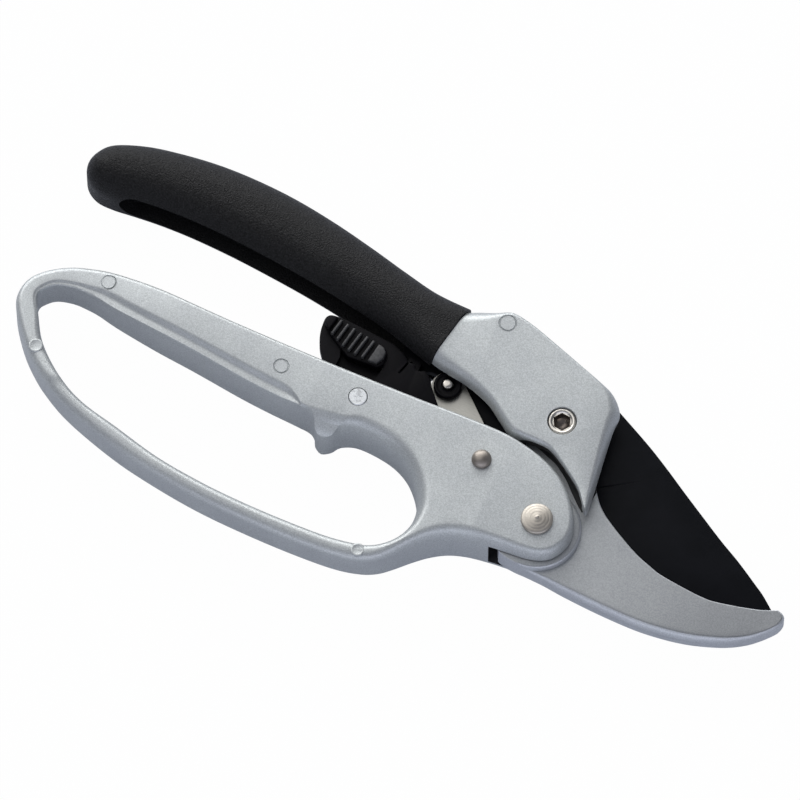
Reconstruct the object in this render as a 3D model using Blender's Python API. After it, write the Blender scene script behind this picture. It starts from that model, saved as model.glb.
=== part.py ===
"""Ratchet pruning shears, lying on their back.

The main pivot stands at X = Y = 0, +X runs to the blade tip, +Y to the gripped
upper handle and +Z out of the front face. Z = 0 is the plane that the shears
lie on. Sizes are in millimetres until they are turned into Blender's metres.
"""
import math

import bmesh
import bpy
from mathutils import Vector

MM = 0.001
GAP = 0.3

# Layers, from the resting plane to the front face
STANDOFF = 0.5
CASTING_THICKNESS = 17.0
BACK_WALL = 2.9
FRONT_WALL = 4.0
BLADE_THICKNESS = 2.6
LINK_THICKNESS = 1.5
HOOK_ARM_THICKNESS = 3.2
HOOK_JAW_THICKNESS = 2.3
HOOK_RIM_DEPTH = 5.2
GUARD_THICKNESS = 12.0
GUARD_THINS_FROM = -40.0
GUARD_THINS_OVER = 9.0
END_THINS_FROM = -100.0
END_THINS_OVER = 35.0
HEAD_ROUNDING = 1.4
LOWER_ROUNDING = 2.0

# Pivots
MAIN_PIVOT = (0.0, 0.0)
HOOK_PIVOT = (5.3, -27.8)
LINK_PIVOT = (-14.5, -18.5)
PIN_SEAT = (-31.9, -1.0)
LOCK_PIVOT = (-50.8, -15.6)

# Main pivot screw, nut and sleeve
SCREW_HEAD_DIAMETER = 7.1
SCREW_HEAD_HEIGHT = 3.5
SCREW_DIAMETER = 5.0
SCREW_SUNK = 0.3
HEX_SOCKET = 4.0
HEX_SOCKET_DEPTH = 2.2
NUT_DIAMETER = 10.0
NUT_HEIGHT = 3.0
NUT_END_WALL = 1.2
SLEEVE_DIAMETER = 8.0

# Rivets, pins and springs
HOOK_RIVET_DIAMETER = 6.0
HOOK_RIVET_HEAD = 8.3
HOOK_RIVET_DOME = 2.6
LINK_RIVET_DIAMETER = 4.0
LINK_RIVET_HEAD = 5.2
LINK_RIVET_DOME = 2.4
RIVET_BACK_HEAD_HEIGHT = 1.2
LOCK_PIN_DIAMETER = 4.8
TANG_PIN_DIAMETER = 4.0
TANG_PIN_DEPTH = 1.5
PIN_SUNK = 0.1
LINK_PIN_DIAMETER = 2.7
LINK_PIN_PROUD = 0.9
ROLLER_DIAMETER = 7.4
ROLLER_THICKNESS = 1.8
OPENING_WIRE = 1.2
OPENING_COIL_RADIUS = 6.3
OPENING_TURNS = 2.0
COIL_SPACE = 0.45
LINK_WIRE = 0.8
LINK_COIL_RADIUS = 3.1
LINK_COIL_TURNS = 2.0
LINK_SPRING_LEG = [(18.6, 4.9), (16.0, 4.9), (12.0, 4.2), (6.0, 3.4)]
LINK_RIVET_END = 6.0
LINK_PIN_END = 4.4

# Pads inside the forks, which bring the walls up to the moving pieces
MAIN_PAD_RADIUS = 10.0
HOOK_PAD_RADIUS = 8.8
LINK_PAD_RADIUS = 5.4

# Hook and blade
HOOK_BOSS_RADIUS = 11.5
HOOK_ARM_RADIUS = 8.8
SPRING_CLEARANCE = 0.5
BOSS_CLEARANCE = 0.7
BOSS_FOOT_RADIUS = 8.9
BLADE_DISC_RADIUS = 10.8
BLADE_BEVEL = 3.2
SEAT_RADIUS = 2.45
SEAT_PITCH = 5.6
SEAT_COUNT = 3
TANG_HEIGHT = 9.6
TANG_PIN_PLACE = (-15.0, 4.6)
TANG_UNDER = [(-11.5, -7.8), (-17.0, -6.6), (-22.5, -4.4)]

# Handles
CHEEK_RADIUS = 9.8
GRIP_WALL = 1.6
GRIP_PROUD = 0.5
GRIP_ROUNDING = 6.0
GRIP_OPENING_LEFT = -113.0
GRIP_CHANNEL_LEFT = -116.0
CHANNEL_WIDTH = 8.8
CHANNEL_ROOF = 5.4
WINDOW_EDGE = -3.9
SLOT_FLOOR = -20.2

# Lock
LOCK_PLATE_THICKNESS = 3.0
LOCK_HUB_RADIUS = 4.4
LOCK_PAD_LEFT = -67.4
LOCK_PAD_LENGTH = 17.8
LOCK_PAD_WIDTH = 9.6
LOCK_PAD_FRONT = 6.6
LOCK_PAD_ROUNDING = 0.7
LOCK_RIB_COUNT = 6
LOCK_RIB_PITCH = 2.1
LOCK_RIB_WIDTH = 0.8
LOCK_RIB_LENGTH = 4.6
LOCK_RIB_HEIGHT = 0.6
LOCK_RIB_FALL = 0.25
LOCK_FIRST_RIB = 2.6
LOCK_NOSE_CLEARANCE = 0.6
LOCK_TOP = [(-67.2, 1.6), (-65.6, 2.8), (-48.2, 1.9), (-44.3, 0.6), (-43.9, 0.4), (-41.6, 0.5),
            (-41.0, -0.9), (-38.9, -0.3), (-37.4, -0.9)]
LOCK_UNDER = [(-31.3, -8.1), (-33.0, -10.6), (-40.0, -14.0), (-44.5, -18.0)]
LOCK_LEFT_SIDE = [(-61.4, -13.0), (-64.2, -8.4), (-66.6, -4.8), (-67.6, -1.5)]
LOCK_SLIT = [(-44.9, -2.6), (-44.4, -2.9), (-42.9, 1.4), (-43.5, 1.6)]

# Main lengths from the main pivot, and where the stretches that follow them begin
HANDLE_LENGTH = 143.8
HANDLE_ROOT = -68.0
GUARD_DEPTH = 57.7
GUARD_ROOT = -45.0
JAW_LENGTH = 73.3
JAW_ROOT = 20.0

# Outlines, as points that a smooth curve runs through
HEAD_TOP = [
    (-32.7, 20.1), (-30.0, 21.0), (-27.4, 21.6), (-25.0, 22.4), (-22.7, 22.6), (-17.1, 21.4),
    (-8.8, 18.7), (-0.2, 15.8), (4.8, 14.2), (8.4, 13.1), (11.1, 11.1), (12.9, 8.3),
    (13.0, 4.0), (13.8, -3.0), (14.8, -10.0), (15.5, -16.0), (15.5, -20.3)]
HEAD_UNDER = [
    (15.5, -20.3), (11.5, -15.7), (8.0, -13.0), (4.1, -10.5), (1.1, -9.0), (-1.5, -8.5),
    (-8.9, -8.5), (-11.8, -7.8), (-15.5, -5.3), (-19.2, -2.8), (-23.7, -0.9), (-27.8, 0.2),
    (-32.4, 0.9)]
GRIP_TOP = [
    (-44.7, 22.0), (-55.1, 24.0), (-64.5, 26.3), (-76.8, 29.0), (-88.9, 30.8), (-100.1, 31.3),
    (-110.9, 31.0), (-121.2, 29.8), (-130.6, 27.8), (-138.3, 24.3), (-141.8, 20.9),
    (-142.8, 17.2), (-141.4, 13.8), (-138.0, 11.6), (-133.2, 11.0), (-127.6, 11.7),
    (-120.2, 12.6), (-111.0, 12.7), (-99.7, 12.2), (-88.4, 11.0), (-77.0, 9.6), (-66.0, 7.8),
    (-52.0, 5.3)]
GRIP_END_TOP = (-34.6, 20.7)
GRIP_END_UNDER = (-38.0, 2.1)
LOWER_TOP = [
    (-142.3, -28.5), (-143.8, -24.4), (-143.0, -19.5), (-139.7, -15.5), (-134.3, -12.0),
    (-128.3, -10.1), (-122.3, -9.0), (-111.5, -8.8), (-98.5, -9.1), (-86.9, -9.3),
    (-63.5, -9.5), (-37.4, -9.3), (-26.0, -8.9), (-14.2, -8.8), (-8.0, -9.4), (-1.6, -10.9),
    (3.3, -12.9), (7.3, -15.4), (10.6, -18.6)]
LOWER_UNDER = [
    (1.0, -38.2), (-3.2, -38.6), (-8.9, -39.3), (-13.8, -40.9), (-17.8, -43.7), (-21.5, -47.7),
    (-25.1, -51.4), (-28.4, -53.8), (-32.6, -55.7), (-39.5, -57.1), (-50.6, -57.7),
    (-63.7, -57.7), (-77.0, -57.1), (-90.0, -55.5), (-103.4, -52.9), (-118.1, -48.3),
    (-126.9, -43.9), (-133.3, -39.2), (-138.0, -34.4)]
FINGER_HOLE = [
    (-138.6, -22.7), (-137.7, -19.7), (-135.2, -17.9), (-131.0, -17.3), (-124.2, -17.7),
    (-120.5, -18.2), (-116.6, -18.8), (-107.0, -20.1), (-95.7, -21.3), (-81.0, -23.0),
    (-70.0, -23.9), (-62.0, -24.3), (-59.7, -25.1), (-58.3, -27.5), (-55.7, -29.0),
    (-53.1, -27.3), (-51.4, -25.0), (-47.5, -23.6), (-41.5, -23.8), (-36.0, -25.0),
    (-31.0, -27.5), (-27.1, -31.1), (-24.8, -35.3), (-23.9, -39.4), (-23.7, -43.2),
    (-26.3, -47.3), (-30.3, -50.3), (-35.5, -52.0), (-43.7, -52.8), (-56.7, -53.1),
    (-69.5, -52.9), (-80.0, -52.2), (-92.0, -50.6), (-105.1, -47.5), (-115.0, -45.0),
    (-122.2, -41.9), (-128.2, -37.7), (-132.9, -33.0), (-136.3, -27.5)]
HOOK_EDGE = [(10.4, -5.6), (14.0, -9.6), (16.6, -12.9), (20.8, -16.4), (29.8, -21.9),
             (36.2, -25.2), (40.9, -26.5), (51.5, -27.3), (57.2, -26.9), (66.2, -24.8),
             (71.0, -22.6)]
HOOK_NOSE = [(71.0, -22.6), (72.4, -22.6), (73.3, -24.4), (72.5, -27.3), (70.4, -30.2),
             (67.4, -33.0), (63.7, -35.4), (59.4, -37.3), (52.6, -39.1), (45.4, -40.2),
             (38.0, -40.6), (28.1, -40.6), (18.5, -40.1), (12.5, -39.3)]
HOOK_ARM_LEFT = [(-6.2, -19.0), (-6.4, -12.5)]
RIM_INNER = [(18.2, -30.0), (24.0, -32.4), (33.0, -34.4), (45.0, -34.3), (57.0, -32.3),
             (66.0, -28.6), (73.5, -21.0)]
BLADE_SPINE = [(11.4, 11.7), (21.6, 6.5), (28.6, 2.5), (35.6, -1.8), (42.6, -6.0),
               (49.5, -10.1), (56.1, -13.7), (62.3, -17.5), (65.6, -19.6), (69.6, -22.8)]
BLADE_EDGE = [(70.2, -23.9), (66.5, -26.9), (60.0, -29.0), (51.0, -30.0), (41.0, -29.2),
              (34.5, -27.4), (27.0, -23.6), (19.5, -18.6), (13.6, -13.6)]


def beyond(value, root, reach, drawn):
    """A coordinate, moved in step with the drawn end when that end is set to the reach."""
    if (value - root) * (drawn - root) <= 0:
        return value
    return root + (value - root) * (reach - root) / (drawn - root)


def handle_x(x):
    return beyond(x, HANDLE_ROOT, -HANDLE_LENGTH, min(point[0] for point in LOWER_TOP))


def handle_points(points):
    """Points of the grip or the loop, at the handles' length and the guard's depth."""
    lowest = min(point[1] for point in LOWER_UNDER)
    return [(handle_x(x), beyond(y, GUARD_ROOT, -GUARD_DEPTH, lowest)) for x, y in points]


def jaw_points(points):
    """Points of the blade or the hook, at the jaws' length."""
    longest = max(point[0] for point in HOOK_NOSE)
    return [(beyond(x, JAW_ROOT, JAW_LENGTH, longest), y) for x, y in points]


def mid_level():
    return STANDOFF + CASTING_THICKNESS / 2


def front_face():
    return STANDOFF + CASTING_THICKNESS


def slot_low():
    return STANDOFF + BACK_WALL


def slot_high():
    return front_face() - FRONT_WALL


def link_back_low():
    return slot_low() + GAP


def blade_low():
    return link_back_low() + LINK_THICKNESS + GAP


def blade_high():
    return blade_low() + BLADE_THICKNESS


def hook_low():
    return blade_high() + GAP


def hook_high():
    return hook_low() + HOOK_ARM_THICKNESS


def clear_scene():
    for item in list(bpy.data.objects):
        bpy.data.objects.remove(item, do_unlink=True)


def finish(name, colour, roughness, metallic):
    material = bpy.data.materials.new(name)
    material.use_nodes = True
    shader = material.node_tree.nodes["Principled BSDF"]
    shader.inputs["Base Color"].default_value = (*colour, 1.0)
    shader.inputs["Roughness"].default_value = roughness
    shader.inputs["Metallic"].default_value = metallic
    return material


def arc(centre, radius, start, end, steps):
    """Points on an arc, with its angles in degrees."""
    angles = [math.radians(start + (end - start) * i / steps) for i in range(steps + 1)]
    return [(centre[0] + radius * math.cos(a), centre[1] + radius * math.sin(a)) for a in angles]


def smooth_through(points, spacing=3.0, closed=False):
    """A Catmull-Rom curve through the points, cut into runs of about the spacing."""
    count = len(points)
    result = []
    for i in range(count if closed else count - 1):
        if closed:
            before, a, b, after = (points[(i + k) % count] for k in (-1, 0, 1, 2))
        else:
            before = points[max(i - 1, 0)]
            a, b = points[i], points[i + 1]
            after = points[min(i + 2, count - 1)]
        steps = max(1, round(math.dist(a, b) / spacing))
        for k in range(steps):
            t = k / steps
            weights = (-t + 2 * t * t - t ** 3, 2 - 5 * t * t + 3 * t ** 3,
                       t + 4 * t * t - 3 * t ** 3, t ** 3 - t * t)
            result.append(tuple(sum(w * p[axis] for w, p in zip(weights, (before, a, b, after))) / 2
                                for axis in (0, 1)))
    return result if closed else result + [points[-1]]


def without_repeats(points, least=0.05):
    kept = []
    for point in points:
        if not kept or math.dist(point, kept[-1]) > least:
            kept.append(point)
    if math.dist(kept[0], kept[-1]) <= least:
        kept.pop()
    return kept


def inset(points, distance):
    """The closed outline moved inwards along the normals of its corners."""
    count = len(points)
    area = sum(points[i - 1][0] * points[i][1] - points[i][0] * points[i - 1][1]
               for i in range(count))
    side = 1 if area > 0 else -1
    moved = []
    for i in range(count):
        along = Vector(points[(i + 1) % count]) - Vector(points[i - 1])
        along.normalize()
        moved.append((points[i][0] - side * along.y * distance,
                      points[i][1] + side * along.x * distance))
    return moved


def new_object(name, mesh, material=None, origin=MAIN_PIVOT):
    """An object whose origin stands on a pivot axis."""
    shift = Vector((origin[0] * MM, origin[1] * MM, 0.0))
    for vertex in mesh.vertices:
        vertex.co -= shift
    item = bpy.data.objects.new(name, mesh)
    item.location = shift
    bpy.context.scene.collection.objects.link(item)
    if material:
        mesh.materials.append(material)
    return item


def mesh_from(shape, name):
    bmesh.ops.recalc_face_normals(shape, faces=shape.faces)
    mesh = bpy.data.meshes.new(name)
    shape.to_mesh(mesh)
    shape.free()
    return mesh


def slab_mesh(name, outlines, low, high, levels=None, rounding=None):
    """A plate between two heights, from an outline and the holes in it.

    The rounding is the width and the number of steps of its rims' round edges.
    """
    shape = bmesh.new()
    for outline in outlines:
        ring = [shape.verts.new((x * MM, y * MM, high * MM)) for x, y in without_repeats(outline)]
        for a, b in zip(ring, ring[1:] + ring[:1]):
            shape.edges.new((a, b))
    bmesh.ops.triangle_fill(shape, use_beauty=True, use_dissolve=False, edges=shape.edges[:])
    top = list(shape.verts)
    grown = bmesh.ops.extrude_face_region(shape, geom=shape.faces[:])["geom"]
    bottom = [item for item in grown if isinstance(item, bmesh.types.BMVert)]
    for vertex in bottom:
        vertex.co.z = low * MM
    if levels:
        for vertex in shape.verts:
            down, up = levels(vertex.co.x / MM, vertex.co.y / MM)
            vertex.co.z = (up if vertex in top else down) * MM
    if rounding:
        bmesh.ops.recalc_face_normals(shape, faces=shape.faces)
        above = set(top)
        rims = [edge for edge in shape.edges if edge.calc_face_angle() > math.radians(50)
                and (edge.verts[0] in above) == (edge.verts[1] in above)]
        bmesh.ops.bevel(shape, geom=rims, offset=rounding[0] * MM, offset_type="OFFSET",
                        segments=rounding[1], profile=0.5, affect="EDGES", clamp_overlap=False,
                        material=-1)
    return mesh_from(shape, name)


def slab(name, outlines, low, high, material=None, origin=MAIN_PIVOT, levels=None,
         rounding=None):
    mesh = slab_mesh(name, outlines, low, high, levels, rounding)
    return new_object(name, mesh, material, origin)


def lathe(name, profile, centre, material=None, steps=24, origin=None):
    """A turned piece from radius and height pairs, closed on its axis or on itself."""
    shape = bmesh.new()
    ring = [shape.verts.new(((centre[0] + r) * MM, centre[1] * MM, z * MM)) for r, z in profile]
    edges = [shape.edges.new(pair) for pair in zip(ring, ring[1:])]
    if profile[0][0] > 0 or profile[-1][0] > 0:
        edges.append(shape.edges.new((ring[-1], ring[0])))
    bmesh.ops.spin(shape, geom=ring + edges, cent=(centre[0] * MM, centre[1] * MM, 0.0),
                   axis=(0.0, 0.0, 1.0), angle=math.tau, steps=steps, use_merge=True)
    bmesh.ops.remove_doubles(shape, verts=shape.verts[:], dist=0.00001)
    mesh = mesh_from(shape, name)
    return new_object(name, mesh, material, centre if origin is None else origin)


def disc(name, centre, radius, low, high, material=None, steps=24):
    return lathe(name, [(0, low), (radius, low), (radius, high), (0, high)], centre,
                 material, steps)


def ring(name, centre, inner, outer, low, high, material=None, steps=24):
    return lathe(name, [(inner, low), (outer, low), (outer, high), (inner, high)], centre,
                 material, steps)


def combine(item, other, operation):
    """A Boolean with a helper that is left out of the model."""
    other.hide_render = True
    other.display_type = "WIRE"
    step = item.modifiers.new(operation.title(), "BOOLEAN")
    step.operation = operation
    step.object = other
    return item


def cut(item, other):
    return combine(item, other, "DIFFERENCE")


def join(item, other):
    return combine(item, other, "UNION")


def bore(item, centre, diameter, low=-5.0, high=25.0, steps=24):
    return cut(item, disc(item.name + "_bore", centre, diameter / 2, low, high, steps=steps))


def stepped_bore(item, centre, steps_up):
    """One turned cutter, from pairs of diameter and the height where it ends."""
    profile = [(0, -5.0)]
    low = -5.0
    for diameter, high in steps_up:
        profile += [(diameter / 2, low), (diameter / 2, high)]
        low = high
    return cut(item, lathe(item.name + "_bore", profile + [(0, low)], centre))


def shade_round(item):
    item.data.shade_smooth()
    item.data.set_sharp_from_angle(angle=math.radians(35))
    return item


def tube(name, points, diameter, material, origin):
    """A round wire along the points, with closed ends."""
    path = bpy.data.curves.new(name, "CURVE")
    path.dimensions = "3D"
    path.bevel_depth = diameter / 2 * MM
    path.bevel_resolution = 1
    path.use_fill_caps = True
    spline = path.splines.new("POLY")
    spline.points.add(len(points) - 1)
    for node, (x, y, z) in zip(spline.points, points):
        node.co = ((x - origin[0]) * MM, (y - origin[1]) * MM, z * MM, 1.0)
    path.materials.append(material)
    item = bpy.data.objects.new(name, path)
    item.location = (origin[0] * MM, origin[1] * MM, 0.0)
    bpy.context.scene.collection.objects.link(item)
    return item


def coil(centre, radius, low, pitch, turns, start, steps=14):
    """Points of a helix that climbs from its lowest turn."""
    count = round(turns * steps)
    points = []
    for i in range(count + 1):
        angle = math.radians(start) + math.tau * i / steps
        points.append((centre[0] + radius * math.cos(angle), centre[1] + radius * math.sin(angle),
                       low + pitch * i / steps))
    return points


def grip_outline():
    return smooth_through(handle_points([GRIP_END_TOP] + GRIP_TOP + [GRIP_END_UNDER]), 4.0)


def channel_roof():
    """The line that the handle's channel is hollowed up to, above the tang and the blade."""
    upper = [point for point in inset(grip_outline(), CHANNEL_ROOF) if point[1] > 12.0]
    along_grip = [point for point in upper if handle_x(GRIP_CHANNEL_LEFT) < point[0] < -50.0]
    return sorted(along_grip) + [(-36.0, TANG_PIN_PLACE[1] + 9.0), (-12.0, BLADE_DISC_RADIUS + 0.8),
                                 (0.0, BLADE_DISC_RADIUS + 0.8), (11.0, BLADE_SPINE[0][1] + 0.5),
                                 (30.0, BLADE_SPINE[1][1] + 1.5)]


def upper_handle(material):
    """The head with its two cheeks, and the hollow bar inside the grip."""
    core_inset = GRIP_WALL + GAP
    head = smooth_through(HEAD_TOP) + smooth_through(HEAD_UNDER)
    end_line = [(GRIP_END_UNDER[0] + 1.3, GRIP_END_UNDER[1] - 0.5),
                (GRIP_END_TOP[0] + 0.5, GRIP_END_TOP[1] - 1.2)]
    item = slab("upper_handle", [head + end_line], STANDOFF, front_face(), material,
                rounding=(HEAD_ROUNDING, 2))
    core = inset(grip_outline(), core_inset)
    core_low = STANDOFF - GRIP_PROUD + core_inset
    bar = slab("handle_bar", [[(-30.0, 15.0)] + core[1:-1] + [(-30.0, 5.0)]], core_low,
               2 * mid_level() - core_low, rounding=(GRIP_ROUNDING - core_inset, 3))
    join(item, bar)
    half_channel = CHANNEL_WIDTH / 2
    roof = channel_roof()
    narrow = [point for point in roof if point[0] < -40.0]
    hollow = narrow + [(-40.0, 14.0), (-40.0, -12.0), (narrow[0][0], -12.0)]
    cut(item, slab("bar_channel", [hollow], mid_level() - half_channel, mid_level() + half_channel))
    wide = ([(-41.0, -40.0), (-41.0, 13.2)] + [point for point in roof if point[0] > -40.0]
            + [(30.0, -40.0)])
    pad = arc(MAIN_PIVOT, MAIN_PAD_RADIUS, 0, 345, 23)
    back_pad, front_pad = blade_low() - GAP, hook_high() + GAP
    cut(item, slab("head_channel", [wide], back_pad, front_pad))
    cut(item, slab("round_back_pad", [wide, pad], slot_low(), back_pad + GAP))
    cut(item, slab("round_front_pad", [wide, pad], front_pad - GAP, slot_high()))
    seat_floor = front_face() - SCREW_SUNK - SCREW_HEAD_HEIGHT - GAP
    stepped_bore(item, MAIN_PIVOT, [(NUT_DIAMETER + 2 * GAP, NUT_HEIGHT + GAP),
                                    (SCREW_DIAMETER + 2 * GAP, seat_floor),
                                    (SCREW_HEAD_DIAMETER + 2 * GAP, 25.0)])
    bore(item, TANG_PIN_PLACE, TANG_PIN_DIAMETER + 2 * GAP, -5.0, slot_high() + TANG_PIN_DEPTH,
         steps=16)
    return shade_round(item)


def upper_grip(material):
    """The dipped sleeve round the bar, open along the channel and at its right end."""
    outer = grip_outline()
    longer = outer + [(GRIP_END_UNDER[0] + 14.0, GRIP_END_UNDER[1] - 1.0),
                      (GRIP_END_TOP[0] + 14.0, GRIP_END_TOP[1] - 2.0)]
    item = slab("upper_grip", [longer], STANDOFF - GRIP_PROUD, front_face() + GRIP_PROUD, material,
                rounding=(GRIP_ROUNDING, 3))
    beyond_end = [GRIP_END_TOP, (GRIP_END_TOP[0] + 1.0, 40.0), (20.0, 40.0), (20.0, -20.0),
                  (GRIP_END_UNDER[0] - 1.0, -20.0), GRIP_END_UNDER]
    cut(item, slab("grip_end", [beyond_end], -5.0, 25.0))
    inner = inset(outer, GRIP_WALL)
    low = STANDOFF - GRIP_PROUD + GRIP_WALL
    cut(item, slab("grip_core", [[(-20.0, 16.5)] + inner + [(-20.0, 4.5)]], low,
                   2 * mid_level() - low, rounding=(GRIP_ROUNDING - GRIP_WALL, 3)))
    half_channel = CHANNEL_WIDTH / 2
    opening_left = handle_x(GRIP_OPENING_LEFT)
    opening = [(opening_left, 20.0), (-30.0, 12.0), (-30.0, -10.0), (opening_left, -10.0)]
    cut(item, slab("grip_opening", [opening], mid_level() - half_channel,
                   mid_level() + half_channel))
    return shade_round(item)


def seat_centres():
    """The notches of the tang lie on a line that falls away from the main pivot."""
    return [(PIN_SEAT[0] - i * SEAT_PITCH, PIN_SEAT[1] + 0.1 * i * SEAT_PITCH)
            for i in range(SEAT_COUNT)]


def blade_outline():
    """The blade's outline, and the points of it that are its cutting edge."""
    spine = smooth_through(jaw_points(BLADE_SPINE))
    edge = smooth_through(jaw_points(BLADE_EDGE))
    lower_disc = arc(MAIN_PIVOT, BLADE_DISC_RADIUS, -65, -140, 6)
    notches = TANG_UNDER + [(PIN_SEAT[0] + SEAT_RADIUS + 3.0, PIN_SEAT[1] - 0.6)]
    for centre in seat_centres():
        notches += arc(centre, SEAT_RADIUS, 0, 165, 7)
    tail_x = seat_centres()[-1][0] - SEAT_RADIUS - 1.4
    tang_top = PIN_SEAT[1] + TANG_HEIGHT
    tail = [(tail_x, PIN_SEAT[1] + 1.6), (tail_x, tang_top - 2.5), (tail_x + 2.5, tang_top)]
    back = [(PIN_SEAT[0] + 4.0, tang_top + 0.4), (TANG_PIN_PLACE[0], TANG_PIN_PLACE[1] + 4.8)]
    upper_disc = arc(MAIN_PIVOT, BLADE_DISC_RADIUS, 125, 80, 4)
    return spine + edge + lower_disc + notches + tail + back + upper_disc, edge


def blade(material):
    """The blade and its notched tang, one flat piece ground from behind."""
    outline, edge = blade_outline()
    mesh = slab_mesh("blade", [outline], blade_low(), blade_high())
    mid_blade = (blade_low() + blade_high()) / 2
    for vertex in mesh.vertices:
        if vertex.co.z > mid_blade * MM:
            continue
        place = (vertex.co.x / MM, vertex.co.y / MM)
        near = min(range(len(edge)), key=lambda i: math.dist(edge[i], place))
        if math.dist(edge[near], place) < 0.02:
            ease = min(1.0, (near + 1) / 3, (len(edge) - near) / 3)
            a, b = edge[max(near - 1, 0)], edge[min(near + 1, len(edge) - 1)]
            along = (Vector(b) - Vector(a)).normalized()
            vertex.co.x += along.y * BLADE_BEVEL * ease * MM
            vertex.co.y -= along.x * BLADE_BEVEL * ease * MM
    item = new_object("blade", mesh, material)
    bore(item, MAIN_PIVOT, SLEEVE_DIAMETER + 2 * GAP)
    bore(item, TANG_PIN_PLACE, TANG_PIN_DIAMETER + 2 * GAP, steps=16)
    return shade_round(item)


def opening_spring_low():
    return slot_low() + 2 * GAP + OPENING_WIRE / 2


def opening_spring_high():
    return opening_spring_low() + OPENING_TURNS * (OPENING_WIRE + COIL_SPACE) + OPENING_WIRE / 2


def hook(material):
    """The curved counter blade, with its arm to the main pivot and its boss on the rivet."""
    boss_low = slot_low() + GAP
    jaw_high = hook_low() + HOOK_JAW_THICKNESS
    around_boss = arc(HOOK_PIVOT, HOOK_BOSS_RADIUS, -80, -200, 12)
    arm_top = arc(MAIN_PIVOT, HOOK_ARM_RADIUS, 215, -30, 16)
    outline = (smooth_through(jaw_points(HOOK_EDGE)) + smooth_through(jaw_points(HOOK_NOSE)) + around_boss
               + smooth_through(HOOK_ARM_LEFT) + arm_top)
    item = slab("hook", [outline], boss_low, hook_high(), material)
    around = [(-30.0, -60.0), (-30.0, 30.0), (90.0, 30.0), (90.0, -60.0)]
    foot = arc(HOOK_PIVOT, BOSS_FOOT_RADIUS, 0, 348, 29)
    cut(item, slab("round_foot", [around, foot], boss_low - 2.0, jaw_high - HOOK_RIM_DEPTH))
    recess = (arc(HOOK_PIVOT, HOOK_BOSS_RADIUS, -20, 161, 18)
              + [(-30.0, -10.0), (-30.0, 30.0), (90.0, 30.0)]
              + smooth_through(jaw_points(RIM_INNER))[::-1])
    cut(item, slab("blade_recess", [recess], boss_low - 2.0, hook_low()))
    jaw_front = (arc(HOOK_PIVOT, HOOK_BOSS_RADIUS, -79, 40, 12)
                 + [(13.0, -14.0), (9.0, -3.0), (30.0, 10.0), (90.0, 10.0), (90.0, -60.0),
                    (9.0, -60.0)])
    cut(item, slab("jaw_face", [jaw_front], jaw_high, hook_high() + 2.0))
    bore(item, MAIN_PIVOT, SLEEVE_DIAMETER + 2 * GAP)
    bore(item, HOOK_PIVOT, HOOK_RIVET_DIAMETER + 2 * GAP)
    room = OPENING_WIRE / 2 + SPRING_CLEARANCE
    cut(item, ring("spring_pocket", HOOK_PIVOT, OPENING_COIL_RADIUS - room,
                   OPENING_COIL_RADIUS + room, boss_low - 2.0, opening_spring_high() + GAP))
    return shade_round(item)


def loop_levels(x, y):
    """The lower handle's back and front height: thinner along the guard and the loop's end."""
    along_guard = min(1.0, max(0.0, (GUARD_THINS_FROM - y) / GUARD_THINS_OVER)) if x < -20.0 else 0.0
    along_end = min(1.0, max(0.0, (END_THINS_FROM - x) / END_THINS_OVER))
    thin = max(along_guard, along_end)
    ease = thin * thin * (3 - 2 * thin)
    half = (CASTING_THICKNESS + (GUARD_THICKNESS - CASTING_THICKNESS) * ease) / 2
    return mid_level() - half, mid_level() + half


def lower_handle(material):
    """The fork, the upper bar, the spur and the guard loop, cast in one."""
    end_arc = arc(HOOK_PIVOT, CHEEK_RADIUS, 40, -105, 16)
    outer = (smooth_through(handle_points(LOWER_TOP)) + end_arc
             + smooth_through(handle_points(LOWER_UNDER)))
    finger_hole = smooth_through(handle_points(FINGER_HOLE), closed=True)
    item = slab("lower_handle", [outer, finger_hole], STANDOFF, front_face(), material,
                HOOK_PIVOT, loop_levels, (LOWER_ROUNDING, 2))
    room = HOOK_BOSS_RADIUS + BOSS_CLEARANCE
    left = arc(HOOK_PIVOT, room, 225, 160, 6)
    slot = ([(-67.0, 5.0), (-67.0, SLOT_FLOOR + 6.0), (-62.0, SLOT_FLOOR), (-40.0, SLOT_FLOOR),
             (-24.0, LINK_PIVOT[1] - 6.6), (-10.0, LINK_PIVOT[1] - 6.6)] + left[::-1]
            + [(WINDOW_EDGE, left[0][1]), (WINDOW_EDGE, -60.0), (40.0, -60.0), (40.0, 5.0)])
    hook_pad = arc(HOOK_PIVOT, HOOK_PAD_RADIUS, 0, 345, 23)
    link_pad = arc(LINK_PIVOT, LINK_PAD_RADIUS, 0, 345, 23)
    link_level, hook_level = roller_low(), hook_high() + GAP
    cut(item, slab("fork_slot", [slot], slot_low(), link_level))
    cut(item, slab("round_link_pad", [slot, link_pad], link_level - GAP, hook_level))
    cut(item, slab("round_hook_pad", [slot, link_pad, hook_pad], hook_level - GAP, slot_high()))
    for centre, shank, head in ((HOOK_PIVOT, HOOK_RIVET_DIAMETER, HOOK_RIVET_HEAD),
                                (LINK_PIVOT, LINK_RIVET_DIAMETER, LINK_RIVET_HEAD)):
        stepped_bore(item, centre, [(head + 2 * GAP, RIVET_BACK_HEAD_HEIGHT + GAP),
                                    (shank + 2 * GAP, 25.0)])
    bore(item, LOCK_PIVOT, LOCK_PIN_DIAMETER + 2 * GAP)
    return shade_round(item)


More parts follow.
